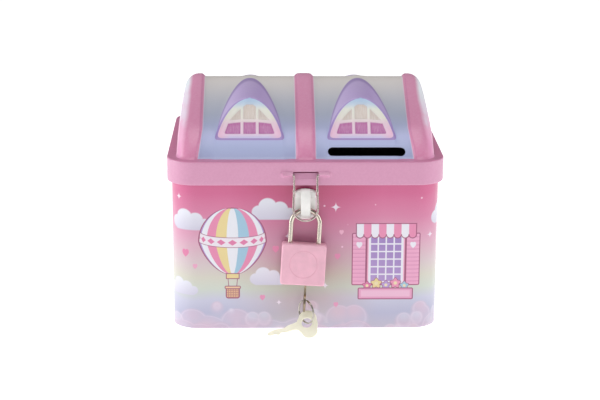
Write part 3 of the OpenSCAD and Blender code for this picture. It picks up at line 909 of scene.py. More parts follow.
def lid_f(x, y, z):
    """Inside-negative form of the roof, ribs, dormers and ledge."""
    ax, ay = np.abs(x), np.abs(y)
    # panels: wall at the foot, then the slope
    ex, ez = FOOT_Y - 5.0, LEDGE_Z + 8.7
    l1 = math.hypot(5.0, 8.7)
    n1 = (8.7 / l1, 5.0 / l1)
    l2 = math.hypot(ex, 109.0 - ez)
    n2 = ((109.0 - ez) / l2, ex / l2)
    a = (ay - ex) * n1[0] + (z - ez) * n1[1]
    b = (ay - ex) * n2[0] + (z - ez) * n2[1]
    b2 = (-ay - ex) * n2[0] + (z - ez) * n2[1]
    roof = smax(a, smax(b, b2, 5.0), 5.5)
    # ribs
    edge = 46.1 + sstep((91.0 - z) / 12.0) * 2.0
    o = 1.2 * sstep((4.55 - ax) / 1.9 + 0.15)
    o = np.maximum(o, 1.2 * sstep((ax - edge) / 2.0 + 0.15))
    o = o + 0.12 * np.cos(np.clip(x / 4.7, -1, 1) * math.pi / 2) * (ax < 4.7)
    roof = roof - o
    # leaning end walls with rounded edges
    e = ax - (FOOT_X - 3.6 * np.clip((z - LEDGE_Z) / 30.0, 0.0, 1.2) ** 2)
    r = 6.8 - 1.6 * sstep((z - 84.0) / 16.0)
    f = rint(roof, e, r)
    # dormers
    for s in (-1.0, 1.0):
        u = x - s * DORMER_X
        au = np.abs(u)
        m = au < 17.5
        ridge = WIN_Z + (28.5 - ay) * math.tan(math.radians(9.6))
        t = au / DORMER_W
        hz = ridge - 0.0479 * au * au - 2.9 * t**16
        slope = 0.0958 * au + 2.9 * 16 / DORMER_W * t**15
        hood = (z - hz) / np.sqrt(1.0 + slope**2)
        win = (ay - 28.5) * WIN_S + (z - WIN_Z) * WIN_C
        v = (ay - 28.5) * WIN_C - (z - WIN_Z) * WIN_S
        # the pane area is set back behind the lip, the glass a little more
        arch = 3.68 * np.sqrt(np.maximum(v, 0.02)) - 0.0045 * v * v - au
        curve = au * au * 0.008
        set_in = 0.8 * sstep((arch + 0.15) / 1.0) * sstep((v - 0.3) / 1.4)
        set_in = set_in * (1 - 0.75 * sstep((v - 18.9) / 1.5))
        up = 8.4 * (np.maximum(v - 2.2, 0.001) / 8.1) ** 0.75 - au
        dn = np.minimum(9.4 + (v - 12.0) * 0.33 - au, 17.9 - v)
        g = np.minimum(np.where(v - curve > 11.1, dn, up), v - 2.9)
        g = np.minimum(g, np.abs(v - 11.1 - curve) - 0.78)
        g = np.minimum(g, np.abs(au - 3.45) - 0.66)
        glass = 0.5 * sstep(g / 0.8 + 0.35)
        win = win + set_in + glass
        d = smax(hood, win, 1.6)
        # each dormer kept to its own width, joined to the roof with a small rounded fillet
        d = np.where(m, d, 99.0)
        f = smin(f, d, 1.1)
    f = smin(f, z - LEDGE_Z, 1.1)
    return f


def lid_height(x, y, off=0.0):
    lo = np.full(x.shape, LEDGE_Z - 2.0)
    hi = np.full(x.shape, 113.0)
    for _ in range(26):
        mid = (lo + hi) / 2
        inside = lid_f(x, y, mid) < off
        lo = np.where(inside, mid, lo)
        hi = np.where(inside, hi, mid)
    return (lo + hi) / 2


def lines(spans, end):
    """Grid lines from (start, step) spans up to end, mirrored about 0."""
    out = [0.0]
    for i, (a, st) in enumerate(spans):
        b = spans[i + 1][0] if i + 1 < len(spans) else end
        n = max(1, int(math.ceil((b - a) / st)))
        out += [a + (b - a) * (k + 1) / n for k in range(n)]
    out = np.array(out)
    return np.concatenate([-out[:0:-1], out])


def to_plan(gx, gy, hx, hy, r):
    """Maps the grid's square corners to round ones."""
    ax, ay = np.abs(gx), np.abs(gy)
    dx = np.clip((ax - (hx - r)) / r, 0, 1)
    dy = np.clip((ay - (hy - r)) / r, 0, 1)
    px = np.where(dx > 0, hx - r + r * dx * np.sqrt(1 - dy**2 / 2), ax)
    py = np.where(dy > 0, hy - r + r * dy * np.sqrt(1 - dx**2 / 2), ay)
    return np.sign(gx) * px, np.sign(gy) * py


def build_lid(mats):
    rf = 0.7  # edge between ledge and band
    hx, hy, cr = LID_W / 2 - rf, LID_D / 2 - rf, LID_R - rf

    def top(xs, ys, off):
        gx, gy = np.meshgrid(xs, ys, indexing="ij")
        px, py = to_plan(gx, gy, hx, hy, cr)
        # keep the walls fine: corners are measured in plan
        return px, py, lid_height(px, py, off)

    xs = lines([(0.0, 0.85), (3.4, 0.45), (6.4, 1.0), (9.9, 0.5), (12.6, 0.5), (37.8, 0.55), (40.6, 1.0), (45.4, 0.5), (49.6, 0.9), (52.6, 0.42), (55.4, 0.22), (58.6, 0.7)], hx)
    ys = lines([(0.0, 1.1), (26.5, 0.48), (42.4, 0.42), (48.6, 0.8)], hy)
    px, py, pz = top(xs, ys, 0.0)
    nx, ny = len(xs), len(ys)
    V_ = [np.column_stack([px.ravel(), py.ravel(), pz.ravel()])]
    F, M = [], []
    idx = np.arange(nx * ny).reshape(nx, ny)
    q = np.stack([idx[:-1, :-1], idx[1:, :-1], idx[1:, 1:], idx[:-1, 1:]], -1).reshape(-1, 4)
    F += q.tolist()
    M += [0] * len(q)
    # boundary, anticlockwise seen from above
    ring = np.concatenate([idx[:-1, 0], idx[-1, :-1], idx[:0:-1, -1], idx[0, :0:-1]])
    P = V_[0][ring][:, :2]
    # outward direction of each boundary point
    cxy = np.clip(P, [-(hx - cr), -(hy - cr)], [hx - cr, hy - cr])
    nrm = P - cxy
    nrm /= np.linalg.norm(nrm, axis=1)[:, None]
    base = len(V_[0])
    n = len(ring)
    prev = ring.copy()
    zr = []
    for k in range(1, 5):
        a = k / 4 * math.pi / 2
        zr.append((rf * math.sin(a), LEDGE_Z - rf * (1 - math.cos(a))))
    zs = [77.4, 76.2, 75.5] + list(np.arange(75.2, 71.2, -0.36)) + [70.9, 70.3, 69.3, 68.75]
    for z in zs:
        zr.append((rf, z))
    # rolled hem
    for k in range(1, 7):
        a = k / 6 * math.pi
        zr.append((rf - 0.45 + 0.45 * math.cos(a), 68.65 - 0.45 * math.sin(a)))
    zr += [(rf - 0.9, 69.4), (rf - 0.9, 70.6), (rf - 0.75, 70.9), (rf - 0.4, 71.0)]
    out = base
    for k, (o, z) in enumerate(zr):
        pts = np.column_stack([P + nrm * o, np.full(n, z)])
        if 71.0 < z < 76.0:  # pressed tunnels for the ends of the bail
            dx = np.abs(pts[:, 0] - LOCK_X)
            reach = 11.6
            along = sstep((reach - dx) / 1.4) * sstep((dx - 3.2) / 1.0)
            dz = abs(z - 73.3)
            across = float(sstep(np.array(1.0 - dz / 1.3)))
            bead = 0.8 * np.exp(-(((pts[:, 0] - LOCK_X + 9.7) / 1.0) ** 2) - (dz / 1.1) ** 2)
            bump = (1.5 * along * across + bead) * (pts[:, 1] < -50)
            pts[:, 1] -= bump
        V_.append(pts)
        cur = np.arange(n) + base
        j = np.roll(np.arange(n), -1)
        q = np.stack([prev, cur, cur[j], prev[j]], -1)
        F += q.tolist()
        M += [0] * n
        prev = cur
        base += n
    # inner skin of the band, half as fine
    fine = prev
    keep = np.arange(0, n, 2)
    m = len(keep)
    Pi, Ni = P[keep], nrm[keep]
    cur = np.arange(m) + base
    V_.append(np.column_stack([Pi + Ni * (rf - 0.4), np.full(m, 71.6)]))
    base += m
    for i in range(m):
        j = (i + 1) % m
        F.append((fine[2 * i], cur[i], fine[2 * i + 1]))
        F.append((fine[2 * i + 1], cur[i], cur[j]))
        F.append((fine[2 * i + 1], cur[j], fine[(2 * i + 2) % n]))
        M += [1, 1, 1]
    prev = cur
    for z, o in ((72.6, 0.4), (75.2, 0.4), (LEDGE_Z - 0.75, 0.42), (LEDGE_Z - 0.5, 0.55)):
        cur = np.arange(m) + base
        V_.append(np.column_stack([Pi + Ni * (rf - o), np.full(m, z)]))
        j = np.roll(np.arange(m), -1)
        F += np.stack([prev, cur, cur[j], prev[j]], -1).tolist()
        M += [1] * m
        prev = cur
        base += m
    # inner skin of the roof: every second grid line, under the lowest of its neighbours
    low = pz.copy()
    pad = np.pad(pz, 2, mode="edge")
    for i in range(5):
        for k in range(5):
            low = np.minimum(low, pad[i : i + nx, k : k + ny])
    inn = 0.9 - rf
    gx, gy = np.meshgrid(xs[::2] * (hx - inn) / hx, ys[::2] * (hy - inn) / hy, indexing="ij")
    qx, qy = to_plan(gx, gy, hx - inn, hy - inn, cr - inn)
    qz = np.maximum(low[::2, ::2], LEDGE_Z) - 0.45
    V_.append(np.column_stack([qx.ravel(), qy.ravel(), qz.ravel()]))
    id2 = np.arange(qx.size).reshape(qx.shape) + base
    q = np.stack([id2[:-1, :-1], id2[:-1, 1:], id2[1:, 1:], id2[1:, :-1]], -1).reshape(-1, 4)
    F += q.tolist()
    M += [1] * len(q)
    ring2 = np.concatenate([id2[:-1, 0], id2[-1, :-1], id2[:0:-1, -1], id2[0, :0:-1]])
    j = np.roll(np.arange(m), -1)
    F += np.stack([prev, ring2, ring2[j], prev[j]], -1).tolist()
    M += [1] * m
    verts = np.vstack(V_)
    me = bpy.data.meshes.new("lid")
    me.from_pydata([tuple(v) for v in (verts * MM).tolist()], [], F)
    for mm in mats:
        me.materials.append(mm)
    me.polygons.foreach_set("material_index", np.asarray(M, dtype=np.int32))
    bm = bmesh.new()
    bm.from_mesh(me)
    bmesh.ops.recalc_face_normals(bm, faces=bm.faces)
    bad = [e for e in bm.edges if not e.is_manifold]
    print("LID", len(bm.verts), len(bm.faces), "open edges", len(bad), "grid", nx, ny)
    bm.to_mesh(me)
    bm.free()
    return me


# ------------------------------------------------------------------ make the finishes
M_LID = lid_material()
M_BODY = body_material()
M_TIN = plain_tin("bare_tin", (196, 194, 196))
M_INSIDE = plain_tin("inside_tin", (176, 172, 176))
M_BASE = coated("base_coat", (206, 190, 214))
M_HINGE = coated("hinge_coat", (214, 150, 184))
M_WHITE = plastic("staple_plastic", (243, 242, 239), 0.28, 0.5, 0.0, 0.01)
# painted reflection: the white plastic's flange is tinted pink for the light the pink tin throws on it
M_FLANGE_REFLECTED_PINK = plastic("flange_plastic", (240, 214, 224), 0.25, 0.5, 0.0, 0.01)
M_JACKET = plastic("jacket_plastic", (238, 184, 202), 0.42, 0.4, 0.0, 0.02)
M_ZINC = plated("zinc", (196, 198, 202), 0.28)
M_WIRE = plated("bail_wire", (194, 180, 176), 0.2, 0.9, 0.92, bump_mm=0.003)
M_SHACKLE = plated("shackle_nickel", (210, 201, 188), 0.17, 0.6, 0.95, bump_mm=0.001)
M_SPRING = plated("spring_steel", (140, 140, 146), 0.3)
M_BRASS = plated("lock_brass", (206, 182, 128), 0.32)
M_RING = plated("ring_nickel", (184, 180, 172), 0.18, 0.9, 0.9, bump_mm=0.003)
M_KEY = plated("key_metal", (255, 252, 230), 0.34, 3.0, 0.985, metal=0.05, bump_mm=0.006)
# painted shade: a darker copy of the key metal, for the key in the lock
M_KEY_SHADED = plated("key_shaded", (168, 152, 130), 0.3, 3.0, 0.8, bump_mm=0.006)

# ------------------------------------------------------------------ lid
lid_me = build_lid([M_LID, M_INSIDE, M_TIN])
lid = to_object("lid", lid_me, "lid", "lid_shell", slot="lid_tin")


def slot_cutter():
    a = np.linspace(-math.pi / 2, math.pi / 2, 17)
    L, W = 34.8, 4.2
    pts = [(L / 2 - W / 2 + W / 2 * math.cos(t), W / 2 * math.sin(t)) for t in a]
    pts += [(-L / 2 + W / 2 - W / 2 * math.cos(t), -W / 2 * math.sin(t)) for t in a]
    pts = np.array(pts)
    c, s = math.cos(math.radians(60)), math.sin(math.radians(60))

    def put(p2, w):
        x = p2[:, 0] + 27.2
        y = -45.4 + p2[:, 1] * c - w * s
        z = 82.0 + p2[:, 1] * s + w * c
        return np.column_stack([x, y, z])

    return loft([put(pts, -4.0), put(pts, 4.0)])


v_, f_ = slot_cutter()
c1 = temp_object("c1", new_mesh("c1", v_, f_, [M_LID, M_INSIDE, M_TIN], face_mat=[2] * len(f_)))
wpts = rrect(11.8, 3.3, 0.7, 6)
wv = [np.column_stack([wpts[:, 0] + LOCK_X, np.full(len(wpts), y), wpts[:, 1] + 72.85]) for y in (-56.0, -50.5)]
v_, f_ = loft(wv)
c2 = temp_object("c2", new_mesh("c2", v_, f_, [M_LID, M_INSIDE, M_TIN], face_mat=[2] * len(f_)))
cut(lid, [c1, c2])
finish_shading(lid.data, 50.0)

# the strip behind the bail, pushed back between the tunnels
tp = []
for x in np.linspace(-7.6, 7.6, 40):
    e = sstep(np.array((7.4 - abs(x)) / 1.9))
    tp.append((x + LOCK_X, -51.72 + 0.6 * float(e)))
tp = np.array(tp)
Pt = Parts()
loops = []
for x, y in tp:
    z0, z1, th, yb = 70.9, 73.85, 0.3, -51.8
    loops.append([(x, yb - th / 2, z0), (x, yb + th / 2, z0), (x, y + th / 2, z1), (x, y - th / 2, z1)])
v_, f_ = loft(loops)
tongue = to_object("lid_tongue", new_mesh("lid_tongue", v_, f_, [M_LID]), "lid", slot="lid_tin")

# ------------------------------------------------------------------ body
W0, D0, R0 = 121.0, 99.0, 11.5


def body_loop(off, z, seg=14, sx=10, sy=16):
    return at(rrect(W0 + 2 * off, D0 + 2 * off, R0 + off, seg, sx, sy), z)


def build_body():
    prof = [(-0.25, 0.01), (-0.07, 0.07), (0.0, 0.25), (0.0, 1.4)]
    prof += [(0.0, z) for z in (6, 14, 24, 34, 44, 54, 64, 72)]
    prof += [(0.0, 76.8)]
    for k in range(0, 11):  # rolled rim, out and over
        a = math.radians(-80 + k * 26)
        prof.append((0.0 + 0.75 * math.cos(a) if k else 0.12, 77.7 + 0.75 * math.sin(a)))
    prof += [(-0.4, 77.2), (-0.4, 70.0), (-0.4, 50.0), (-0.4, 25.0), (-0.4, 1.3), (-0.7, 0.95), (-3.1, 0.85), (-3.1, 0.45), (-0.8, 0.42)]
    loops = [body_loop(o, z) for o, z in prof]
    verts, faces = loft(loops, closed_path=True)
    n = len(loops[0])
    k_out = 4 + 8 + 1 + 8
    fm = []
    for a in range(len(loops)):
        fm += [0 if a < k_out else 1] * n
    me = bpy.data.meshes.new("body")
    vx, vy, vz = verts[:, 0], verts[:, 1], verts[:, 2]
    me.from_pydata([tuple(v) for v in (verts * MM).tolist()], [], faces)
    for m in (M_BODY, M_INSIDE):
        me.materials.append(m)
    me.polygons.foreach_set("material_index", np.asarray(fm, dtype=np.int32))
    # distance round the wall, 0 at the middle of the front
    base = body_loop(0.0, 0.0)[:, :2]
    seg = np.linalg.norm(np.roll(base, -1, 0) - base, axis=1)
    s = np.concatenate([[0], np.cumsum(seg)])
    total = s[-1]
    uvl = me.uv_layers.new(name="print")
    data = np.zeros((len(me.loops), 2))
    li = np.zeros(len(me.loops), dtype=np.int32)
    me.loops.foreach_get("vertex_index", li)
    col = li % n
    u = s[col]
    # faces that close the loop
    per = li.reshape(-1, 4)
    cc = per % n
    wrap = (cc.max(1) == n - 1) & (cc.min(1) == 0)
    U = s[cc]
    U[wrap] = np.where(cc[wrap] == 0, total, U[wrap])
    data[:, 0] = (total / 2 - U).ravel()
    data[:, 1] = verts[li, 2]
    uvl.data.foreach_set("uv", data.ravel())
    bm = bmesh.new()
    bm.from_mesh(me)
    bmesh.ops.recalc_face_normals(bm, faces=bm.faces)
    bad = [e for e in bm.edges if not e.is_manifold]
    print("BODY open edges", len(bad), "length", total)
    bm.to_mesh(me)
    bm.free()
    finish_shading(me, 40.0)
    return me


body = to_object("body", build_body(), "tin_body", "body_shell", slot="body_tin")

# lap seam: a flat strip soldered down the back
v_, f_ = outline_plate([(-2.2, -35.6), (2.2, -35.6), (2.2, 35.6), (-2.2, 35.6)], [], 0.3, 0.1, 1)
v_ = np.column_stack([v_[:, 0] - 42.0, 49.58 + v_[:, 2], v_[:, 1] + 37.2])
seam_me = new_mesh("lap_seam", v_, f_, [M_HINGE])
seam = to_object("lap_seam", seam_me, "tin_body", slot="body_tin")

# ------------------------------------------------------------------ staple
def arch_outline(g, top=68.0, foot=52.9, n=16):
    """The staple's outline: arched top and round foot."""
    w = 4.6 - g
    pts = []
    cz, R = 56.6, 4.6 + 5.2
    zt = 66.8 - g
    # arched top: circle of radius 9.8 about (0, 56.6) clipped by the sides
    a0 = math.acos(w / (R - g * 0.5))
    for a in np.linspace(a0, math.pi - a0, n):
        pts.append(((R - g) * math.cos(a) * (w / max(1e-6, (R - g) * math.cos(a0))), cz + (R - g) * math.sin(a)))
    Rf = 8.2 - g
    cz2 = 60.6
    b0 = math.acos(min(1.0, w / Rf))
    for a in np.linspace(math.pi + b0, 2 * math.pi - b0, n):
        pts.append((Rf * math.cos(a) * (w / max(1e-6, Rf * math.cos(b0))), cz2 + Rf * math.sin(a)))
    return np.array(pts)


def slab_y(outline, y0, y1, bevel, segs=3, holes=()):
    """A plate in the front plane between two depths, edges rounded."""
    v, f = outline_plate(outline, holes, y1 - y0, bevel, segs)
    return np.column_stack([v[:, 0] + LOCK_X, (y0 + y1) / 2 - v[:, 2], v[:, 1]]), f


S = Parts()
fy = -49.5
# the flange behind the staple, in the pink-tinted finish: a painted reflection of the tin
S.add(*slab_y(circle2(0, 59.6, 5.8, 64), fy - 0.9, fy, 0.3), 1)
S.add(*slab_y(arch_outline(0.0), fy - 0.95, fy - 0.05, 0.2))
head = arch_outline(0.0)
hz = head[head[:, 1] > 62.7]
head_pts = np.vstack([hz, [(-4.6, 62.7), (4.6, 62.7)]])
S.add(*slab_y(head_pts, fy - 3.5, fy - 0.6, 1.0, 6))


def lip_outline(n=60):
    """The lip's outline, kept inside the shackle's bow over its whole swing."""
    base = arch_outline(0.4)
    c0 = np.array([-0.2, 54.0])
    edge = np.roll(base, -1, axis=0) - base
    keep = np.linalg.norm(edge, axis=1) > 1e-6
    nor = np.column_stack([edge[:, 1], -edge[:, 0]])[keep]
    pts = []
    for th in np.linspace(0, 2 * math.pi, n, endpoint=False):
        d = np.array([math.cos(th), math.sin(th)])
        dn = nor @ d
        m = dn > 1e-9
        ts = [float(np.min(((base[keep] - c0) * nor).sum(1)[m] / dn[m]))]
        if d[1] > 1e-6:
            ts.append((55.2 - c0[1]) / d[1])
        for a in (-11.7, 3.3, 18.3):
            q = c0 - np.array([-6.4 * math.sin(math.radians(a)), 57.1 - 6.4 * math.cos(math.radians(a))])
            b = q @ d
            ts.append(-b + math.sqrt(b * b - q @ q + (6.4 - 1.1 - 0.35) ** 2))
        pts.append(c0 + d * sum(t ** -12.0 for t in ts) ** (-1 / 12.0))
    return np.array(pts)


S.add(*slab_y(lip_outline(), fy - 3.2, fy - 0.6, 0.22, 3))


def rbox3(lo, hi, r, segs=3):
    """A box with rounded edges, from its corners in mm."""
    bm = bmesh.new()
    bmesh.ops.create_cube(bm, size=1.0)
    for v in bm.verts:
        v.co = Vector([lo[i] + (v.co[i] + 0.5) * (hi[i] - lo[i]) for i in range(3)])
    bmesh.ops.bevel(bm, geom=list(bm.edges), offset=r, segments=segs, profile=0.5, affect="EDGES")
    bm.verts.index_update()
    v = np.array([tuple(x.co) for x in bm.verts])
    f = [tuple(x.index for x in fc.verts) for fc in bm.faces]
    bm.free()
    return v, f


# the bridge: a rounded bar that leaves the head, runs down and turns back under the shackle
way = [(-2.2, 66.0, 2.2, 0.75), (-3.3, 65.75, 2.2, 0.72), (-4.15, 65.1, 2.2, 0.7), (-4.75, 64.3, 2.2, 0.68), (-5.07, 63.3, 2.2, 0.65), (-5.15, 62.2, 2.2, 0.65)]
way += [(-5.15, z, 2.2, 0.65) for z in (60.0, 58.0, 56.5)]
way += [(-5.13, 55.5, 2.15, 0.62), (-4.98, 54.75, 2.0, 0.55), (-4.55, 54.2, 1.8, 0.48), (-3.8, 53.98, 1.65, 0.45), (-2.4, 53.95, 1.6, 0.45), (-0.8, 53.95, 1.6, 0.45)]
way = np.array(way)
tan = np.gradient(way[:, :2], axis=0)
tan /= np.linalg.norm(tan, axis=1)[:, None]
loops = []
for (yy, zz, hw_, ht_), (ty, tz) in zip(way, tan):
    sec = rrect(2 * hw_, 2 * ht_, min(0.45, ht_ * 0.8), 6)
    loops.append(np.column_stack([LOCK_X + sec[:, 0], fy + yy - sec[:, 1] * tz, zz + sec[:, 1] * ty]))
S.add(*loft(loops))
S.add(*rbox3((LOCK_X - 2.5, fy - 0.5, 56.0), (LOCK_X + 2.5, fy + 2.7, 63.0), 0.2))
staple = to_object("staple", S.mesh("staple", [M_WHITE, M_FLANGE_REFLECTED_PINK], sharp=50), "tin_body", "lock_staple", slot="staple_plastic")

# ------------------------------------------------------------------ hinge leaves
HY, HZ = LID_D / 2 + 0.9, BAND_Z - 1.8
spans_l = [(-30.0, -18.2), (-5.8, 5.8), (18.2, 30.0)]
spans_b = [(-17.8, -6.2), (6.2, 17.8)]


def curl(x0, x1, start, sgn):
    """A strip of steel rolled round the hinge wire, from a point below or above."""
    r0, r1 = 0.66, 1.1
    outer, inner = [], []
    for a in np.linspace(0, 1, 26):
        if sgn > 0:  # from above, over the back and round
            t = math.radians(180 - 300 * a)
        else:
            t = math.radians(180 + 300 * a)
        outer.append((HY + r1 * math.cos(t), HZ + r1 * math.sin(t)))
        inner.append((HY + r0 * math.cos(t), HZ + r0 * math.sin(t)))
    prof = outer + inner[::-1]
    prof = np.array(prof)
    loops = [np.column_stack([np.full(len(prof), x), prof[:, 0], prof[:, 1]]) for x in (x0, x1)]
    return loft(loops)


H1 = Parts()
v_, f_ = outline_plate([(-30, HZ + 2.4), (30, HZ + 2.4), (30, HZ + 9.4), (-30, HZ + 9.4)], [], 0.5, 0.12, 2)
H1.add(np.column_stack([v_[:, 0], 52.25 + v_[:, 2], v_[:, 1]]), f_)
for a, b in spans_l:
    v_, f_ = curl(a, b, None, 1)
    H1.add(v_, f_)
    v_, f_ = rbox3((a, 52.0, HZ), (b, 52.5, HZ + 2.6), 0.08, 1)
    H1.add(v_, f_)
lid_leaf = to_object("lid_leaf", H1.mesh("lid_leaf", [M_HINGE], sharp=40), "lid", "lid_hinge_leaf", slot="hinge_steel")

H2 = Parts()
v_, f_ = outline_plate([(-30, HZ - 15), (30, HZ - 15), (30, HZ - 5), (-30, HZ - 5)], [], 0.5, 0.12, 2)
H2.add(np.column_stack([v_[:, 0], 49.75 + v_[:, 2], v_[:, 1]]), f_)
for a, b in spans_b:
    v_, f_ = curl(a, b, None, -1)
    H2.add(v_, f_)
    strip = np.array([(49.5, HZ - 5.6), (50.0, HZ - 5.6), (50.05, HZ - 5.2), (52.35, HZ - 1.6), (53.1, HZ - 1.06), (52.5, HZ - 0.75), (51.95, HZ - 1.2), (49.5, HZ - 4.7)])
    loops = [np.column_stack([np.full(len(strip), x), strip[:, 0], strip[:, 1]]) for x in (a, b)]
    H2.add(*loft(loops))
body_leaf = to_object("body_leaf", H2.mesh("body_leaf", [M_HINGE], sharp=40), "tin_body", "body_hinge_leaf", slot="hinge_steel")

# rivet heads of the two leaves
def rivet(x, y, z, r=1.3, h=0.45):
    loops = []
    for k in range(5):
        a = k / 5 * math.pi / 2
        rr = r * math.cos(a)
        c = circle2(0, 0, rr, 20)
        loops.append(np.column_stack([c[:, 0] + x, np.full(20, y + h * math.sin(a)), c[:, 1] + z]))
    first = loops[0].copy()
    first[:, 1] = y - 0.2
    return loft([first] + loops)


Rv = Parts()
for x in (-24.0, 0.0, 24.0):
    Rv.add(*rivet(x, 52.5, HZ + 6.0))
lid_rivets = to_object("lid_rivets", Rv.mesh("lid_rivets", [M_HINGE], sharp=60), "lid", slot="hinge_steel")
Rv = Parts()
for x in (-24.0, 0.0, 24.0):
    Rv.add(*rivet(x, 50.0, HZ - 10.0))
body_rivets = to_object("body_rivets", Rv.mesh("body_rivets", [M_HINGE], sharp=60), "tin_body", slot="hinge_steel")

# ------------------------------------------------------------------ bail
def build_bail():
    lean = math.radians(-10.0)
    c, s = math.cos(lean), math.sin(lean)
    L, hw = 15.4, 5.2
    pts = []
    # from the left end in its tunnel, round the loop, to the right end
    def kink(z):  # slight set of the legs below the band
        return 0.16 * math.sin(max(0.0, min(1.0, (-z - 5.2) / 1.6)) * math.pi) , 0.0
    left = [(-10.4, 0.0), (-8.5, 0.0), (-6.3, 0.0)]
    for a in np.linspace(0.15, 1.0, 6):
        t = a * math.pi / 2
        left.append((-6.2 + 1.0 * math.sin(t), -1.0 + 1.0 * math.cos(t)))
    for z in np.linspace(-1.8, -L, 22):
        left.append((-hw - 0.28 * sstep(np.array((-z - 5.0) / 9.0)) + kink(z)[0] * 0.6, z))
    R = hw + 0.28
    arc = [(-R * math.cos(a), -L - (R - 0.28) * math.sin(a)) for a in np.linspace(0, math.pi, 30)[1:-1]]
    right = [(-x, z) for x, z in left[::-1]]
    path2 = left + arc + right
    out = []
    for x, z in path2:
        y0 = 0.0
        out.append((LOCK_X + x, -52.7 + y0 * c - z * s, 73.3 + y0 * s + z * c))
    # a small crimp on each leg
    rad = np.array([0.5 + 0.14 * math.exp(-(((z + 7.4) / 0.6) ** 2)) for x, z in path2])
    return tube(out, rad, 14, round_ends=True)


v_, f_ = build_bail()
bail = to_object("bail", new_mesh("bail", v_, f_, [M_WIRE], sharp=60), "bail", "wire_bail", slot="bail_wire")

# ------------------------------------------------------------------ padlock
CT, CW, CH, CD = -15.2, 19.9, 18.5, 9.0


def build_jacket():
    bm = bmesh.new()
    bmesh.ops.create_cube(bm, size=1.0)
    for v in bm.verts:
        v.co = Vector((v.co.x * CW, v.co.y * CD, v.co.z * CH + CT - CH / 2))
    up = [e for e in bm.edges if abs(e.verts[0].co.y - e.verts[1].co.y) > 1.0]
    bmesh.ops.bevel(bm, geom=up, offset=1.15, segments=5, profile=0.5, affect="EDGES")
    rim = [e for e in bm.edges if abs(e.verts[0].co.y - e.verts[1].co.y) < 1e-4 and abs(abs(e.verts[0].co.y) - CD / 2) < 1e-3]
    bmesh.ops.bevel(bm, geom=rim, offset=0.75, segments=4, profile=0.5, affect="EDGES")
    me = bpy.data.meshes.new("jacket")
    bm.to_mesh(me)
    bm.free()
    return me


def jacket_object():
    me = build_jacket()
    me.materials.append(M_JACKET)
    o = temp_object("jacket_tmp", me)
    cs = []
    # pocket for the core, open below
    v, f = rbox3((-8.8, -3.35, CT - CH - 1.0), (8.8, 3.35, CT - 1.0), 0.1, 1)
    cs.append(temp_object("j1", scaled(new_mesh("j1", v, f, [M_JACKET]))))
    for s in (-1, 1):
        c = circle2(s * 6.4, 0, 1.22, 32)
        cs.append(temp_object("j2", scaled(new_mesh("j2", *loft([at(c, CT - 4.0), at(c, CT + 2.0)]), [M_JACKET]))))
    # round groove on the front, V-shaped and shallow
    loops = []
    for r, y in ((5.9, -CD / 2 - 0.2), (5.95, -CD / 2 - 0.02), (6.12, -CD / 2 + 0.16), (6.3, -CD / 2 - 0.02), (6.35, -CD / 2 - 0.2)):
        c = circle2(0, 0, r, 96)
        loops.append(np.column_stack([c[:, 0], np.full(96, y), c[:, 1] + CT - 8.9]))
    cs.append(temp_object("j3", scaled(new_mesh("j3", *loft(loops, closed_path=True), [M_JACKET]))))
    cut(o, cs)
    me = o.data
    bpy.data.objects.remove(o)
    # into place
    v = np.zeros(len(me.vertices) * 3)
    me.vertices.foreach_get("co", v)
    v = lock(v.reshape(-1, 3)) * MM
    me.vertices.foreach_set("co", v.ravel())
    finish_shading(me, 32.0)
    return me


def scaled(me):
    """Back to millimetres, for cutting at that scale."""
    me.transform(Matrix.Scale(1000.0, 4))
    return me


jacket = to_object("jacket", jacket_object(), "padlock", "lock_jacket", slot="jacket_plastic")


def build_shackle():
    n = 40
    pts = [(-6.4, 0, z) for z in np.linspace(-27.0, -6.4, 14, endpoint=False)]
    pts += [(-6.4 * math.cos(a), 0, -6.4 + 6.4 * math.sin(a)) for a in np.linspace(0, math.pi, n)]
    pts += [(6.4, 0, z) for z in np.linspace(-6.4, -19.3, 10)[1:]]
    v, f = tube(pts, 1.1, 24)
    o = temp_object("shackle_tmp", scaled(new_mesh("shackle_bow", v, f, [M_SHACKLE])))
    # flat on the long leg for the heel pin, notch in the short leg for the latch
    cs = []
    for lo, hi in (((-5.9, -2, -26.8), (-3.9, 2, -21.2)), ((3.8, -2, -18.75), (5.8, 2, -16.25))):
        cs.append(temp_object("s1", scaled(new_mesh("s1", *rbox3(lo, hi, 0.02, 1), [M_SHACKLE]))))
    cut(o, cs)
    me = o.data
    bpy.data.objects.remove(o)
    v = np.zeros(len(me.vertices) * 3)
    me.vertices.foreach_get("co", v)
    v = lock(v.reshape(-1, 3)) * MM
    me.vertices.foreach_set("co", v.ravel())
    finish_shading(me, 60.0)
    return me


shackle = to_object("shackle_bow", build_shackle(), "shackle", "shackle", slot="shackle_steel")

# ------------------------------------------------------------------ keys
def smooth_outline(pts, n_per=6, corners=()):
    """Catmull-Rom through the points, closed."""
    p = np.asarray(pts, float)
    n = len(p)
    out = []
    for i in range(n):
        a, b, c, d = p[(i - 1) % n], p[i], p[(i + 1) % n], p[(i + 2) % n]
        for k in range(n_per):
            t = k / n_per
            out.append(0.5 * ((2 * b) + (c - a) * t + (2 * a - 5 * b + 4 * c - d) * t * t + (-a + 3 * b - 3 * c + d) * t**3))
    return np.array(out)


def place_spare(v):
    """From the spare key's own plane to its place."""
    a, b, c = math.radians(-9.8), math.radians(50.0), math.radians(16.0)
    rx = np.array([[1, 0, 0], [0, math.cos(b), -math.sin(b)], [0, math.sin(b), math.cos(b)]])
    ra, rc = (np.array([[math.cos(k), -math.sin(k), 0], [math.sin(k), math.cos(k), 0], [0, 0, 1]]) for k in (a, c))
    return np.asarray(v) @ (ra @ rx @ rc).T + np.array([0.5, -59.2, 5.97])


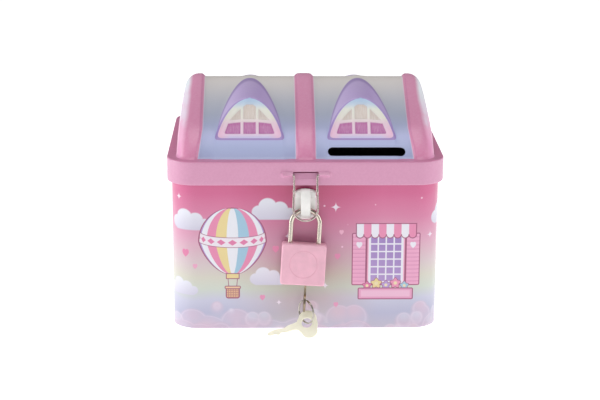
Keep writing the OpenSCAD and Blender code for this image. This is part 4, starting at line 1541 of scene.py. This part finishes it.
def bow_outline(circles, o, a0, a1, n):
    """The outside of overlapping discs seen from a point inside them, between two angles in degrees."""
    out = []
    for a in np.radians(np.linspace(a0, a1, n)):
        d = np.array([math.cos(a), math.sin(a)])
        best = 0.0
        for cx, cy, r in circles:
            q = np.array([cx, cy]) - o
            h = q @ d
            k = r * r - (q @ q - h * h)
            if k > 0:
                best = max(best, h + math.sqrt(k))
        out.append(tuple(o + d * best))
    return out


SPARE = bow_outline([(0.6, 1.6, 4.2), (0.0, -0.6, 4.85), (0.5, -3.7, 3.8)], np.array([0.1, -1.0]), -160.0, 151.0, 34)
SPARE += [
    (-5.8, 1.0), (-8.4, 0.6), (-10.4, -0.2), (-12.6, -0.12), (-14.6, -0.1), (-17.8, -0.8), (-18.4, -1.5), (-18.2, -2.1),
    (-16.9, -2.6), (-15.1, -2.3), (-13.4, -3.0), (-12.2, -2.2), (-9.4, -2.4), (-6.8, -2.1), (-5.4, -2.25),
]
KT = 0.9
v_, f_ = outline_plate(smooth_outline(SPARE, 5), [circle2(0, 0, 2.4, 40, rev=True)], KT, 0.14, 2)
K = Parts()
K.add(place_spare(v_), f_)
spare = to_object("spare_key_plate", K.mesh("spare_key_plate", [M_KEY], sharp=30), "spare_key", "spare_key", slot="key_metal")

bow = [(-4.45 * math.cos(a) + 0.25, 4.5 * math.sin(a)) for a in np.linspace(math.radians(28), math.radians(332), 44)]
key_out = bow + [(-4.9, -1.9), (-5.9, -1.9), (-5.9, -1.3), (-18.4, -1.3), (-18.9, -0.6), (-18.9, 0.4), (-17.9, 1.3), (-16.9, 0.8), (-15.7, 1.3), (-14.4, 0.7), (-13.2, 1.3), (-11.8, 0.9), (-10.6, 1.3), (-5.9, 1.3), (-5.9, 1.9), (-4.9, 1.9)]
v_, f_ = outline_plate(key_out, [circle2(0.1, 0, 2.3, 40, rev=True)], KT, 0.13, 2)
# own plane: first axis down the key, second across it
kv = np.column_stack([v_[:, 2] + 1.6, v_[:, 1], -v_[:, 0] - 41.9])
# the key in the lock takes the darker copy of the key metal: painted shade
key = to_object("key_plate", new_mesh("key_plate", lock(kv), f_, [M_KEY_SHADED], sharp=30), "key", "key", slot="key_metal")


def build_ring():
    R, w = 5.3, 0.26
    u = np.array([math.cos(math.radians(-54)), math.sin(math.radians(-54)), 0.0])
    nrm = np.array([-u[1], u[0], 0.0])
    c = np.array([0.2, -58.6, 11.1])
    out = []
    start = 2.2
    turns = 1.96
    for k in np.linspace(0, 1, 170):
        a = start + 2 * math.pi * turns * k
        # two flat turns with one short crossing
        f = k * turns
        d = -0.235 + 0.47 * float(sstep(np.array((f - 0.86) / 0.24)))
        out.append(c + R * (math.cos(a) * u + math.sin(a) * np.array([0, 0, 1.0])) + nrm * d)
    return tube(out, w, 10, round_ends=True)


v_, f_ = build_ring()
ring = to_object("split_ring", new_mesh("split_ring", v_, f_, [M_RING], sharp=60), "ring", "key_ring", slot="ring_steel")

# ------------------------------------------------------------------ latch spring, pressed together by the latch
turns = np.linspace(0, 1, 65)
coil = np.column_stack([-2.85 - 1.62 * turns, 0.4 * np.cos(turns * 8 * math.pi), -16.85 + 0.4 * np.sin(turns * 8 * math.pi)])
v_, f_ = tube(lock(coil), 0.12, 8, round_ends=True)
latch_coil = to_object("latch_coil", new_mesh("latch_coil", v_, f_, [M_SPRING], sharp=60), None, "latch_spring", slot="spring_steel")

# ------------------------------------------------------------------ finishes of the CAD pieces that stay
STAY = {
    "base_panel": M_BASE,
    "staple_retainer": M_ZINC,
    "hinge_pin": M_ZINC,
    "lock_core": M_BRASS,
    "lock_bottom_plate": M_BRASS,
    "heel_pin": M_ZINC,
    "shackle_spring": M_SPRING,
    "latch": M_ZINC,
    "key_plug": M_BRASS,
    "plug_clip": M_SPRING,
}
for name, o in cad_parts.items():
    m = STAY.get(name) or (M_KEY if name.startswith("wafer") else None)
    if m is None:
        continue
    if not o.material_slots:
        o.data.materials.append(m)
    for s in o.material_slots:
        s.material = m

for o, b in RIDES:
    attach(o, b or "padlock")
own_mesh(latch_coil)


# ------------------------------------------------------------------ floor and light
def floor():
    bm = bmesh.new()
    bmesh.ops.create_grid(bm, x_segments=8, y_segments=8, size=6.0)
    me = bpy.data.meshes.new("floor")
    bm.to_mesh(me)
    bm.free()
    t = Mat("floor_white", Roughness=0.9, Specular_IOR_Level=0.1)
    n = t.noise(0.01, 2.0, 0.5)
    t.color(t.mix(n, lin((250, 250, 250)), lin((246, 246, 247))))
    t.b.inputs["Emission Color"].default_value = (1, 1, 1, 1)
    t.b.inputs["Emission Strength"].default_value = 0.74
    me.materials.append(t.m)
    o = bpy.data.objects.new("floor", me)
    o.location = (0, 0, -0.0002)
    scene.collection.objects.link(o)


floor()


def area(name, loc, target, size, power, color=(1, 1, 1)):
    l = bpy.data.lights.new(name, "AREA")
    l.shape = "RECTANGLE"
    l.size, l.size_y = size
    l.energy = power
    l.color = color
    o = bpy.data.objects.new(name, l)
    o.location = loc
    d = Vector(target) - Vector(loc)
    o.rotation_mode = "QUATERNION"
    o.rotation_quaternion = d.to_track_quat("-Z", "Y")
    scene.collection.objects.link(o)
    return o


area("left", (-0.95, -0.10, 0.28), (0, 0, 0.05), (0.6, 0.6), 4.5)
area("right", (0.9, -0.25, 0.30), (0, 0, 0.05), (0.5, 0.6), 2.2)
area("top", (0.0, -0.15, 1.05), (0, 0, 0.05), (0.9, 0.6), 4.3)
area("front_left", (-0.72, -0.86, 0.45), (0, 0, 0.05), (0.5, 0.5), 0.55)
area("front_right", (0.72, -0.86, 0.45), (0, 0, 0.05), (0.5, 0.5), 0.55)

world = bpy.data.worlds.new("world")
scene.world = world
world.use_nodes = True
bg = world.node_tree.nodes["Background"]
bg.inputs[0].default_value = (1, 1, 1, 1)
# the backdrop is white to the eye, and a softer light on the object
seen = world.node_tree.nodes.new("ShaderNodeLightPath")
level = world.node_tree.nodes.new("ShaderNodeMath")
level.operation = "MULTIPLY_ADD"
level.inputs[1].default_value = 0.79
level.inputs[2].default_value = 0.21
world.node_tree.links.new(seen.outputs["Is Camera Ray"], level.inputs[0])
world.node_tree.links.new(level.outputs[0], bg.inputs[1])
